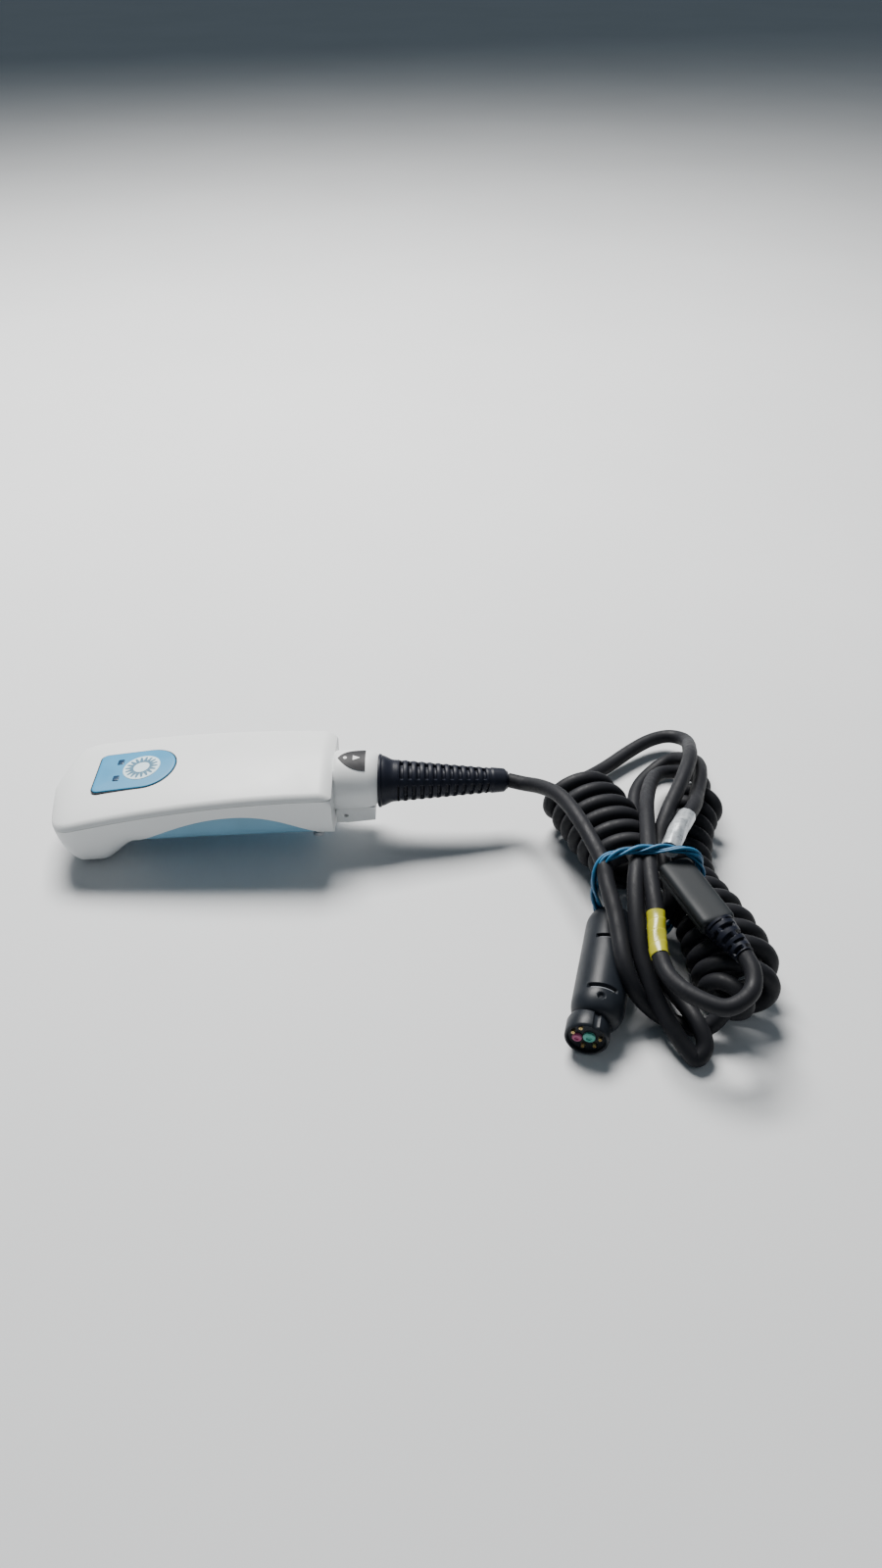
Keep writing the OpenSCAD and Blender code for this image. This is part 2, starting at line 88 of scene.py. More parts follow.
def new_material(name):
    material = bpy.data.materials.new(name)
    material.use_nodes = True
    nodes = material.node_tree.nodes
    return material, nodes, material.node_tree.links, nodes["Principled BSDF"]


def noise(nodes, links, scale, detail=4.0, rough=0.55, stretch=(1, 1, 1)):
    """Cloudy noise fixed to the object, stretched along its axes."""
    where = nodes.new("ShaderNodeTexCoord")
    place = nodes.new("ShaderNodeMapping")
    place.inputs["Scale"].default_value = stretch
    texture = nodes.new("ShaderNodeTexNoise")
    texture.inputs["Scale"].default_value = scale
    texture.inputs["Detail"].default_value = detail
    texture.inputs["Roughness"].default_value = rough
    links.new(where.outputs["Object"], place.inputs["Vector"])
    links.new(place.outputs["Vector"], texture.inputs["Vector"])
    return texture


def spread(nodes, links, source, low, high, start=0.3, end=0.7):
    """Maps a noise value between start and end to the range low to high."""
    ramp = nodes.new("ShaderNodeMapRange")
    ramp.inputs["From Min"].default_value = start
    ramp.inputs["From Max"].default_value = end
    ramp.inputs["To Min"].default_value = low
    ramp.inputs["To Max"].default_value = high
    links.new(source, ramp.inputs["Value"])
    return ramp.outputs["Result"]


def mixed(nodes, links, factor, first, second):
    """A colour between two others."""
    mix = nodes.new("ShaderNodeMix")
    mix.data_type = "RGBA"
    mix.inputs["A"].default_value = (*first, 1)
    mix.inputs["B"].default_value = (*second, 1)
    links.new(factor, mix.inputs["Factor"])
    return mix.outputs["Result"]


def bumped(nodes, links, shader, height, strength, distance):
    bump = nodes.new("ShaderNodeBump")
    bump.inputs["Strength"].default_value = strength
    bump.inputs["Distance"].default_value = distance
    links.new(height, bump.inputs["Height"])
    links.new(bump.outputs["Normal"], shader.inputs["Normal"])


def scaled(colour, factor):
    return tuple(min(1.0, c * factor) for c in colour)


def moulded(name, colour, roughness, grain=1600, bump=0.12, variation=0.05, blotch=55, coat=0.0, shine=0.5):
    """Moulded plastic or rubber: fine grain and faint blotches in colour and gloss."""
    material, nodes, links, shader = new_material(name)
    broad = noise(nodes, links, blotch, 5.0)
    fine = noise(nodes, links, grain, 2.0)
    tint = spread(nodes, links, broad.outputs["Fac"], 0.0, 1.0)
    links.new(mixed(nodes, links, tint, scaled(colour, 1 - variation), scaled(colour, 1 + variation)),
              shader.inputs["Base Color"])
    links.new(spread(nodes, links, broad.outputs["Fac"], roughness - 0.05, roughness + 0.07),
              shader.inputs["Roughness"])
    bumped(nodes, links, shader, fine.outputs["Fac"], bump, 0.0002)
    shader.inputs["Specular IOR Level"].default_value = shine
    shader.inputs["Coat Weight"].default_value = coat
    shader.inputs["Coat Roughness"].default_value = 0.25
    return material


def jacket(name, colour, roughness):
    """Cable jacket: satin, with fine scuffs along it and paler rubbed places."""
    material, nodes, links, shader = new_material(name)
    broad = noise(nodes, links, 70, 6.0, 0.6)
    scuff = noise(nodes, links, 500, 3.0, 0.7, (1, 0.35, 1))
    wear = spread(nodes, links, broad.outputs["Fac"], 0.0, 1.0, 0.35, 0.8)
    links.new(mixed(nodes, links, wear, colour, scaled(colour, 1.35)), shader.inputs["Base Color"])
    links.new(spread(nodes, links, scuff.outputs["Fac"], roughness - 0.08, roughness + 0.12),
              shader.inputs["Roughness"])
    bumped(nodes, links, shader, scuff.outputs["Fac"], 0.10, 0.0003)
    shader.inputs["Specular IOR Level"].default_value = DULL
    return material


def metal(name, colour, roughness, brush=900):
    """Bare metal with fine brushed lines."""
    material, nodes, links, shader = new_material(name)
    lines = noise(nodes, links, brush, 3.0, 0.6, (1, 8, 8))
    links.new(mixed(nodes, links, spread(nodes, links, lines.outputs["Fac"], 0.0, 1.0),
                    scaled(colour, 0.85), colour), shader.inputs["Base Color"])
    links.new(spread(nodes, links, lines.outputs["Fac"], roughness - 0.06, roughness + 0.1),
              shader.inputs["Roughness"])
    shader.inputs["Metallic"].default_value = 1.0
    bumped(nodes, links, shader, lines.outputs["Fac"], 0.08, 0.0002)
    return material


def tinted_window(name, colour):
    """Tinted clear plastic with faint smears."""
    material, nodes, links, shader = new_material(name)
    smear = noise(nodes, links, 60, 4.0)
    links.new(spread(nodes, links, smear.outputs["Fac"], 0.03, 0.14), shader.inputs["Roughness"])
    links.new(mixed(nodes, links, spread(nodes, links, smear.outputs["Fac"], 0.0, 1.0),
                    colour, scaled(colour, 1.15)), shader.inputs["Base Color"])
    shader.inputs["Transmission Weight"].default_value = 0.55
    bumped(nodes, links, shader, smear.outputs["Fac"], 0.03, 0.0003)
    return material


def foil_sleeve(name):
    """Clear sleeve over foil: silvery, wrinkled across, with streaks along it."""
    material, nodes, links, shader = new_material(name)
    wrinkle = noise(nodes, links, 260, 5.0, 0.65, (1, 1, 0.4))
    links.new(mixed(nodes, links, spread(nodes, links, wrinkle.outputs["Fac"], 0.0, 1.0),
                    (0.36, 0.39, 0.42), (0.72, 0.75, 0.78)), shader.inputs["Base Color"])
    links.new(spread(nodes, links, wrinkle.outputs["Fac"], 0.22, 0.45), shader.inputs["Roughness"])
    shader.inputs["Metallic"].default_value = 0.45
    shader.inputs["Coat Weight"].default_value = 0.6
    bumped(nodes, links, shader, wrinkle.outputs["Fac"], 0.35, 0.0006)
    return material


def board_material(name):
    """Circuit board: solder mask with darker patches."""
    material, nodes, links, shader = new_material(name)
    cells = noise(nodes, links, 240, 2.0)
    links.new(mixed(nodes, links, spread(nodes, links, cells.outputs["Fac"], 0.0, 1.0, 0.48, 0.52),
                    (0.01, 0.10, 0.05), (0.02, 0.20, 0.10)), shader.inputs["Base Color"])
    links.new(spread(nodes, links, cells.outputs["Fac"], 0.25, 0.45), shader.inputs["Roughness"])
    bumped(nodes, links, shader, cells.outputs["Fac"], 0.2, 0.0002)
    return material


DULL = 0.22  # reflectance level of the matt black rubber and plastics
WHITE = moulded("white_shell", (0.76, 0.775, 0.775), 0.45, 1900, 0.10, 0.012, 40)
GRIP = moulded("blue_grip", (0.17, 0.36, 0.50), 0.62, 1400, 0.22, 0.06, 60)
KEY = moulded("blue_key", (0.030, 0.25, 0.46), 0.46, 1500, 0.07, 0.05, 80)
PALE = moulded("pale_emblem", (0.62, 0.78, 0.84), 0.40, 1500, 0.06, 0.03, 90)
TICK = moulded("emblem_tick", (0.05, 0.16, 0.25), 0.45, 1500, 0.06, 0.05, 90)
LENS = moulded("status_lens", (0.004, 0.035, 0.085), 0.22, 1500, 0.05, 0.08, 90, 0.5)
DARK = moulded("dark_plastic", (0.012, 0.015, 0.020), 0.38, 1500, 0.16, 0.10, 70, shine=DULL)
RUBBER = moulded("black_rubber", (0.007, 0.009, 0.018), 0.46, 1300, 0.18, 0.12, 70, shine=DULL)
MARK = moulded("mark_grey", (0.022, 0.022, 0.025), 0.50, 1500, 0.08, 0.06, 80, shine=DULL)
MARK_WHITE = moulded("mark_white", (0.66, 0.67, 0.67), 0.45, 1500, 0.06, 0.03, 80)
COUPLER = moulded("coupler_plastic", (0.018, 0.021, 0.024), 0.55, 1400, 0.20, 0.10, 60, shine=DULL)
LATCH = moulded("latch_plastic", (0.20, 0.21, 0.23), 0.32, 1500, 0.06, 0.06, 80)
BAND = moulded("blue_band", (0.012, 0.13, 0.27), 0.48, 900, 0.30, 0.16, 110)
TAPE = moulded("yellow_tape", (0.40, 0.38, 0.020), 0.30, 700, 0.20, 0.12, 120, 0.3)
PINK = moulded("pink_insert", (0.45, 0.10, 0.22), 0.45, 1500, 0.06, 0.06, 80)
GREEN = moulded("green_insert", (0.10, 0.42, 0.34), 0.45, 1500, 0.06, 0.06, 80)
IVORY = moulded("ivory_plastic", (0.66, 0.62, 0.52), 0.5, 1500, 0.1, 0.05, 80)
CHIP = moulded("chip_epoxy", (0.02, 0.02, 0.022), 0.55, 1800, 0.2, 0.1, 90)
LAMP = moulded("red_lamp", (0.55, 0.03, 0.02), 0.2, 1500, 0.05, 0.05, 80, 0.5)
CABLE = jacket("cable_jacket", (0.010, 0.0105, 0.0135), 0.56)
STEEL = metal("steel", (0.62, 0.62, 0.64), 0.34)
BRASS = metal("contact_brass", (0.83, 0.64, 0.30), 0.28)
BLACK_METAL = metal("black_metal", (0.05, 0.05, 0.055), 0.4)
WINDOW = tinted_window("red_window", (0.32, 0.02, 0.03))
GLASS = tinted_window("lens_glass", (0.60, 0.70, 0.78))
FOIL = foil_sleeve("silver_sleeve")
BOARD = board_material("circuit_board")

SLOT_MATERIALS = {
    "white_shell": WHITE, "blue_grip": GRIP, "blue_key": KEY, "pale_emblem": PALE,
    "status_lens": LENS, "dark_plastic": DARK, "red_window": WINDOW, "black_rubber": RUBBER,
    "circuit_board": BOARD, "chip_epoxy": CHIP, "ivory_plastic": IVORY,
    "black_metal": BLACK_METAL, "lens_glass": GLASS, "red_lamp": LAMP, "steel": STEEL,
    "mark_grey": MARK, "cable_jacket": CABLE, "yellow_tape": TAPE, "coupler_plastic": COUPLER,
    "silver_sleeve": FOIL, "latch_plastic": LATCH, "contact_brass": BRASS, "blue_band": BAND,
}


def paint_cad_nodes():
    for part in frame["record"]["subparts"]:
        node = frame["nodes"][part["node"]]
        node.data.materials.clear()
        node.data.materials.append(SLOT_MATERIALS[part["material_slot"]])


paint_cad_nodes()

# ---------------------------------------------------------------- mesh helpers


def add_object(name, mesh, material, body="scanner"):
    obj = bpy.data.objects.new(name, mesh)
    bpy.context.scene.collection.objects.link(obj)
    if material is not None:
        mesh.materials.append(material)
    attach(obj, body)
    return obj


def smooth(mesh, angle=35):
    mesh.shade_smooth()
    mesh.set_sharp_from_angle(angle=math.radians(angle))


def ring_mesh(name, rings, closed=True, caps=True, loop=False):
    """A mesh through rings of points.

    closed joins each ring to itself, and loop joins the last ring to the first.
    """
    count = len(rings[0])
    verts = [p for ring in rings for p in ring]
    faces = []
    spans = len(rings) if loop else len(rings) - 1
    around = count if closed else count - 1
    for i in range(spans):
        for j in range(around):
            a = i * count + j
            b = i * count + (j + 1) % count
            c = ((i + 1) % len(rings)) * count + (j + 1) % count
            d = ((i + 1) % len(rings)) * count + j
            faces.append((a, b, c, d))
    if caps and not loop:
        faces.append(tuple(range(count - 1, -1, -1)))
        faces.append(tuple((len(rings) - 1) * count + j for j in range(count)))
    mesh = bpy.data.meshes.new(name)
    mesh.from_pydata([tuple(v) for v in verts], [], faces)
    mesh.update()
    return mesh


def facing_out(mesh):
    """Turns every face outwards."""
    work = bmesh.new()
    work.from_mesh(mesh)
    bmesh.ops.recalc_face_normals(work, faces=work.faces)
    work.to_mesh(mesh)
    work.free()
    return mesh


def baked(obj):
    """Replaces the object's mesh with what its modifiers make of it."""
    bpy.context.view_layer.update()
    shown = obj.evaluated_get(bpy.context.evaluated_depsgraph_get())
    mesh = bpy.data.meshes.new_from_object(shown)
    old = obj.data
    obj.modifiers.clear()
    obj.data = mesh
    if old.users == 0:
        bpy.data.meshes.remove(old)
    return obj


def scratch(name, mesh):
    obj = bpy.data.objects.new(name, mesh)
    bpy.context.scene.collection.objects.link(obj)
    return obj


def cut(obj, cutters, operation="DIFFERENCE"):
    for cutter in cutters:
        modifier = obj.modifiers.new("cut", "BOOLEAN")
        modifier.operation = operation
        modifier.solver = "EXACT"
        modifier.object = cutter
    baked(obj)
    for cutter in cutters:
        bpy.data.objects.remove(cutter)
    return obj


def rounded(obj, width, segments=2, angle=40):
    modifier = obj.modifiers.new("round", "BEVEL")
    modifier.width = width
    modifier.segments = segments
    modifier.limit_method = "ANGLE"
    modifier.angle_limit = math.radians(angle)
    return baked(obj)


def prism(name, outline, low, high, axis="Z"):
    """A closed solid: the outline's points drawn across one axis from low to high."""
    def place(p, q, along):
        if axis == "Z":
            return (p, q, along)
        if axis == "Y":
            return (p, along, q)
        return (along, p, q)

    rings = [[place(p, q, along) for p, q in outline] for along in (low, high)]
    return facing_out(ring_mesh(name, rings))


def arc(centre, radius, start, end, count):
    return [(centre[0] + radius * math.cos(math.radians(start + (end - start) * k / (count - 1))),
             centre[1] + radius * math.sin(math.radians(start + (end - start) * k / (count - 1))))
            for k in range(count)]


def rounded_rectangle(width, height, radius, count=6):
    w, h = width / 2 - radius, height / 2 - radius
    points = []
    for x, y, start in ((w, h, 0), (-w, h, 90), (-w, -h, 180), (w, -h, 270)):
        points += arc((x, y), radius, start, start + 90, count)
    return points


# ---------------------------------------------------------------- routes


def catmull(a, b, c, d, t):
    return 0.5 * (2 * b + (c - a) * t + (2 * a - 5 * b + 4 * c - d) * t * t
                  + (3 * b - a - 3 * c + d) * t * t * t)


def smooth_route(points, steps, loop=False):
    """Points along a smooth curve through the route. A point may carry its own radius as a fourth number."""
    points = [Vector(p) for p in points]
    n = len(points)
    out = []
    for i in range(n if loop else n - 1):
        if loop:
            a, b, c, d = (points[(i + k) % n] for k in (-1, 0, 1, 2))
        else:
            a, b = points[max(i - 1, 0)], points[i]
            c, d = points[i + 1], points[min(i + 2, n - 1)]
        for k in range(steps):
            out.append(catmull(a, b, c, d, k / steps))
    if not loop:
        out.append(points[-1])
    return out


def lengths_along(points):
    total = [0.0]
    for a, b in zip(points, points[1:]):
        total.append(total[-1] + (b - a).length)
    return total


def even_points(points, count):
    """The same line, resampled at equal steps."""
    total = lengths_along(points)
    out = []
    j = 0
    for k in range(count):
        want = total[-1] * k / (count - 1)
        while j < len(points) - 2 and total[j + 1] < want:
            j += 1
        span = max(total[j + 1] - total[j], 1e-9)
        out.append(points[j].lerp(points[j + 1], (want - total[j]) / span))
    return out


def frames_along(points, loop=False):
    """A tangent and two square directions at each point, turning as little as possible."""
    n = len(points)
    tangents = []
    for i in range(n):
        if loop:
            tangents.append((points[(i + 1) % n] - points[i - 1]).normalized())
        else:
            tangents.append((points[min(i + 1, n - 1)] - points[max(i - 1, 0)]).normalized())
    side = tangents[0].cross(UP)
    if side.length < 0.1:
        side = tangents[0].cross(Vector((0, 1, 0)))
    side.normalize()
    out = []
    for t in tangents:
        side = (side - t * side.dot(t)).normalized()
        out.append((t, side, side.cross(t).normalized()))
    return out


def swept(name, points, radius, around=32, caps=True):
    """A tube along points. radius(s, angle) gives the distance from the line, or one across and one up."""
    frames = frames_along(points)
    rings = []
    n = len(points)
    for i, (_, side, up) in enumerate(frames):
        s = i / (n - 1)
        ring = []
        for k in range(around):
            a = 2 * math.pi * k / around
            r = radius(s, a)
            across, rise = r if isinstance(r, tuple) else (r, r)
            ring.append(points[i] + side * (across * math.cos(a)) + up * (rise * math.sin(a)))
        rings.append(ring)
    return ring_mesh(name, rings, caps=caps)


def cord_curve(name, points, diameter):
    data = bpy.data.curves.new(name, "CURVE")
    data.dimensions = "3D"
    data.bevel_depth = diameter / 2
    data.bevel_resolution = 5
    data.use_fill_caps = True
    data.resolution_u = 3
    spline = data.splines.new("NURBS")
    spline.points.add(len(points) - 1)
    for point, place in zip(spline.points, points):
        point.co = (*place[:3], 1)
    spline.order_u = 4
    spline.use_endpoint_u = True
    obj = bpy.data.objects.new(name, data)
    bpy.context.scene.collection.objects.link(obj)
    data.materials.append(CABLE)
    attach(obj, "scanner")
    return obj


def step_up(x, start, end):
    t = min(1.0, max(0.0, (x - start) / (end - start)))
    return t * t * (3 - 2 * t)


def helix(route, turns, first_angle, cable_r, ramp_in, ramp_out, per_turn=18):
    """The curly stretch: turns wound round the route, whose fourth number is the coil's outer radius."""
    dense = smooth_route(route, 12)
    line = [Vector(p[:3]) for p in dense]
    radii = [p[3] for p in dense]
    total = lengths_along(line)
    count = int(turns * per_turn)
    out = []
    j = 0
    for k in range(count + 1):
        share = k / count
        want = total[-1] * share
        while j < len(line) - 2 and total[j + 1] < want:
            j += 1
        t = (want - total[j]) / max(total[j + 1] - total[j], 1e-9)
        centre = line[j].lerp(line[j + 1], t)
        outer = radii[j] + (radii[j + 1] - radii[j]) * t
        heading = (line[min(j + 2, len(line) - 1)] - line[max(j - 1, 0)]).normalized()
        side = heading.cross(UP).normalized()
        up = side.cross(heading)
        wide = outer - cable_r - 0.0002
        if ramp_in:
            wide *= step_up(share * turns, 0.0, ramp_in)
        if ramp_out:
            wide *= step_up((1 - share) * turns, 0.0, ramp_out)
        angle = first_angle + 2 * math.pi * turns * share
        wobble = 1 + 0.02 * math.sin(5.3 * share * turns)
        out.append(centre + side * (wide * wobble * math.cos(angle))
                   + up * (wide * CURL_FLATNESS * math.sin(angle)))
    return out


# ---------------------------------------------------------------- the lead

CABLE_D = 0.0074
CABLE_R = CABLE_D / 2

LEAD_ROUTE = [
    (0.144, 0.005, 0.028), (0.152, 0.002, 0.028), (0.160, -0.007, 0.033), (0.168, -0.022, 0.039),
    (0.175, -0.042, 0.041), (0.180, -0.058, 0.040), (0.183, -0.070, 0.039), (0.184, -0.081, 0.036),
    (0.186, -0.094, 0.033), (0.187, -0.106, 0.030), (0.188, -0.118, 0.026), (0.192, -0.126, 0.018),
    (0.199, -0.128, 0.009), (0.206, -0.131, 0.005), (0.214, -0.135, 0.005), (0.222, -0.138, 0.007)]

RIGHT_CURL = [
    (0.229, -0.135, 0.014, 0.011), (0.235, -0.127, 0.015, 0.017), (0.237, -0.115, 0.016, 0.020),
    (0.236, -0.103, 0.016, 0.020), (0.234, -0.090, 0.016, 0.0185), (0.230, -0.076, 0.016, 0.017),
    (0.227, -0.061, 0.015, 0.0145), (0.227, -0.044, 0.014, 0.0135), (0.230, -0.028, 0.014, 0.0135),
    (0.234, -0.013, 0.014, 0.0135), (0.239, 0.000, 0.014, 0.014), (0.244, 0.011, 0.014, 0.014)]

MIDDLE_ROUTE = [
    (0.247, 0.020, 0.013), (0.244, 0.031, 0.011), (0.234, 0.034, 0.011), (0.223, 0.025, 0.016),
    (0.215, 0.002, 0.027), (0.209, -0.024, 0.036), (0.206, -0.046, 0.040), (0.204, -0.066, 0.041),
    (0.203, -0.078, 0.040), (0.203, -0.090, 0.038), (0.203, -0.102, 0.035), (0.202, -0.111, 0.034),
    (0.202, -0.121, 0.033), (0.204, -0.131, 0.032), (0.208, -0.138, 0.032), (0.213, -0.143, 0.032),
    (0.219, -0.147, 0.032), (0.225, -0.149, 0.032), (0.232, -0.146, 0.033), (0.237, -0.140, 0.034),
    (0.238, -0.132, 0.036), (0.236, -0.125, 0.037)]

TAIL_ROUTE = [
    (0.215, -0.060, 0.040), (0.220, -0.048, 0.040), (0.226, -0.036, 0.038), (0.232, -0.024, 0.035),
    (0.236, -0.010, 0.031), (0.241, 0.008, 0.029), (0.243, 0.024, 0.024), (0.241, 0.037, 0.017),
    (0.234, 0.046, 0.010), (0.224, 0.042, 0.005), (0.214, 0.028, 0.004), (0.210, 0.008, 0.004),
    (0.209, -0.020, 0.004), (0.208, -0.044, 0.004), (0.206, -0.062, 0.007), (0.208, -0.076, 0.013),
    (0.213, -0.080, 0.020), (0.215, -0.072, 0.026)]

LOOP_ROUTE = [
    (0.213, -0.060, 0.030), (0.212, -0.048, 0.032), (0.217, -0.034, 0.038), (0.227, -0.012, 0.040),
    (0.235, 0.010, 0.038), (0.239, 0.030, 0.029), (0.243, 0.049, 0.018), (0.243, 0.062, 0.012),
    (0.236, 0.069, 0.009), (0.225, 0.066, 0.008), (0.213, 0.057, 0.007), (0.202, 0.047, 0.006),
    (0.192, 0.037, 0.007), (0.183, 0.026, 0.011)]

LEFT_CURL = [
    (0.175, 0.015, 0.017, 0.016), (0.180, 0.004, 0.017, 0.020), (0.187, -0.010, 0.017, 0.0205),
    (0.193, -0.026, 0.017, 0.0205), (0.198, -0.042, 0.018, 0.018), (0.200, -0.053, 0.020, 0.015)]

PLUG_ROUTE = [
    (0.199, -0.062, 0.036), (0.198, -0.071, 0.040), (0.196, -0.082, 0.039), (0.195, -0.094, 0.036),
    (0.195, -0.105, 0.031), (0.196, -0.115, 0.025), (0.199, -0.124, 0.019), (0.203, -0.133, 0.013),
    (0.208, -0.142, 0.009), (0.212, -0.148, 0.006), (0.216, -0.152, 0.004), (0.220, -0.147, 0.007),
    (0.217, -0.138, 0.012), (0.212, -0.125, 0.011), (0.207, -0.112, 0.009), (0.205, -0.098, 0.008),
    (0.204, -0.086, 0.005), (0.200, -0.077, 0.005), (0.195, -0.073, 0.009)]

RIGHT_TURNS = 14.5
LEFT_TURNS = 7.25
CURL_FLATNESS = 0.78


def first_cord():
    coil = helix(RIGHT_CURL, RIGHT_TURNS, math.radians(200), CABLE_R, 0.8, 0.8)
    before = smooth_route(LEAD_ROUTE + [coil[0]], 3)[:-1]
    after = smooth_route([coil[-1]] + MIDDLE_ROUTE, 3)[1:]
    return before + coil + after


def second_cord():
    coil = helix(LEFT_CURL, LEFT_TURNS, math.radians(0), CABLE_R, 0.8, 0)
    before = smooth_route(TAIL_ROUTE + LOOP_ROUTE + [coil[0]], 3)[:-1]
    after = smooth_route([coil[-1]] + PLUG_ROUTE, 3)[1:]
    return before + coil + after


first_line = first_cord()
second_line = second_cord()
lead = cord_curve("scanner_cord", first_line, CABLE_D)
tail = cord_curve("tail_cord", second_line, CABLE_D)
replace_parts(lead, "scanner_lead", "curl_right", "middle_lead")
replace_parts(tail, "tail_lead", "loop_lead", "curl_left", "plug_lead")

# ---------------------------------------------------------------- pieces on the lead


def along_line(points, start, end, count):
    """count even points between two distances along a line."""
    total = lengths_along(points)
    out = []
    j = 0
    for k in range(count):
        want = start + (end - start) * k / (count - 1)
        while j < len(points) - 2 and total[j + 1] < want:
            j += 1
        out.append(points[j].lerp(points[j + 1], (want - total[j]) / max(total[j + 1] - total[j], 1e-9)))
    return out


TAPE_START = Vector((0.203, -0.099, 0.036))
TAPE_LENGTH = 0.023
TAPE_TURNS = 3.6


def make_tape():
    """Overlapping turns of tape, each edge a small step, with faint folds."""
    line = smooth_route(MIDDLE_ROUTE, 10)
    nearest = min(range(len(line)), key=lambda i: (line[i] - TAPE_START).length)
    start = lengths_along(line)[nearest]
    points = along_line(line, start, start + TAPE_LENGTH, 90)

    def radius(s, a):
        turn = (s * TAPE_TURNS + a / (2 * math.pi)) % 1.0
        fold = 0.00012 * math.sin(3 * a + 9 * s)
        return CABLE_R + 0.00018 + 0.00030 * (1 - turn) + fold

    mesh = swept("tape_wrap", points, radius, 40)
    smooth(mesh, 50)
    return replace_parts(add_object("tape_wrap_look", mesh, TAPE), "tape_wrap")


RELIEF_ROUTE = [
    (0.236, -0.125, 0.037), (0.234, -0.120, 0.037), (0.231, -0.115, 0.038), (0.228, -0.109, 0.0385)]


RELIEF_R = 0.0043
RELIEF_GROWTH = 0.0020
RELIEF_ROWS = 4.6
RELIEF_SLOT_DEPTH = 0.0016


def make_relief():
    """Segmented relief: bridges alternate from side to side between the slots."""
    points = even_points(smooth_route(RELIEF_ROUTE, 12), 110)

    def radius(s, a):
        base = RELIEF_R + RELIEF_GROWTH * s
        row = s * RELIEF_ROWS
        place = row % 1.0
        slot = step_up(place, 0.10, 0.20) * (1 - step_up(place, 0.55, 0.65))
        shift = math.pi / 4 if int(row) % 2 else 0
        bridge = step_up(abs(math.sin(2 * (a + shift))), 0.30, 0.55)
        deep = RELIEF_SLOT_DEPTH * slot * bridge if s < 0.93 else 0
        return (base - deep) * (1 + 0.1 * s), (base - deep)

    mesh = swept("coupler_relief", points, radius, 64)
    smooth(mesh, 40)
    piece = add_object("coupler_relief_look", mesh, RUBBER)
    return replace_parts(piece, "coupler_relief")


COUPLER_START = Vector(RELIEF_ROUTE[-1])
COUPLER_HEADING = math.radians(110)
COUPLER_LENGTH = 0.040
COUPLER_HALF_WIDTH = 0.0079
COUPLER_HALF_HEIGHT = 0.0044
COUPLER_END_ROUND = 0.0025
COUPLER_SQUARENESS = 4.5


def make_coupler():
    """Flat moulded body: soft corners, rounded ends and a parting groove along each side."""
    heading = Vector((math.cos(COUPLER_HEADING), math.sin(COUPLER_HEADING), 0))
    points = [COUPLER_START + heading * (COUPLER_LENGTH * k / 60) for k in range(61)]

    def radius(s, a):
        ends = min(1.0, (min(s, 1 - s) * COUPLER_LENGTH) / COUPLER_END_ROUND)
        shrink = 0.80 + 0.20 * math.sqrt(1 - (1 - ends) ** 2)
        across = abs(math.cos(a)) / COUPLER_HALF_WIDTH
        rise = abs(math.sin(a)) / COUPLER_HALF_HEIGHT
        p = COUPLER_SQUARENESS
        r = 1 / (across ** p + rise ** p) ** (1 / p)
        groove = 0.0003 * (1 - step_up(abs(math.sin(a)), 0.03, 0.09))
        return r * shrink - groove

    mesh = swept("coupler_body", points, radius, 72)
    smooth(mesh, 40)
    piece = add_object("coupler_body_look", mesh, COUPLER)
    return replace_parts(piece, "coupler_body")


SLEEVE_ROUTE = [(0.214, -0.062, 0.040), (0.220, -0.048, 0.040), (0.226, -0.036, 0.038)]
SLEEVE_R = 0.0044


def make_sleeve():
    """Thin sleeve with shallow creases along it."""
    points = even_points(smooth_route(SLEEVE_ROUTE, 10), 50)

    def radius(s, a):
        crease = 0.00012 * math.sin(4 * a + 5 * s) + 0.00008 * math.sin(9 * a - 11 * s)
        return SLEEVE_R + crease

    mesh = swept("coupler_sleeve", points, radius, 48)
    smooth(mesh, 50)
    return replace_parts(add_object("coupler_sleeve_look", mesh, FOIL), "coupler_sleeve")


FERRITE_TOP = Vector((0.189, -0.078, 0.012))
FERRITE_HEADING = math.radians(257)
FERRITE_LENGTH = 0.063
FERRITE_R = 0.0115
LATCH_SPOTS = (0.0222, 0.0522)
LATCH_TURN = 95  # where the slots sit round the case, degrees
DIMPLE_SPOTS = (0.0075, 0.0575)
CASE_TOP_ROUND = 0.008
CASE_END_ROUND = 0.009
PLUG_R = 0.0094
PLUG_SIDE = 0.0026
PLUG_DROP = 0.0024
FERRITE_AXIS = Vector((math.cos(FERRITE_HEADING), math.sin(FERRITE_HEADING), 0))
FERRITE_SIDE = FERRITE_AXIS.cross(UP)


def ferrite_point(along, side, rise):
    return FERRITE_TOP + FERRITE_AXIS * along + FERRITE_SIDE * side + UP * rise


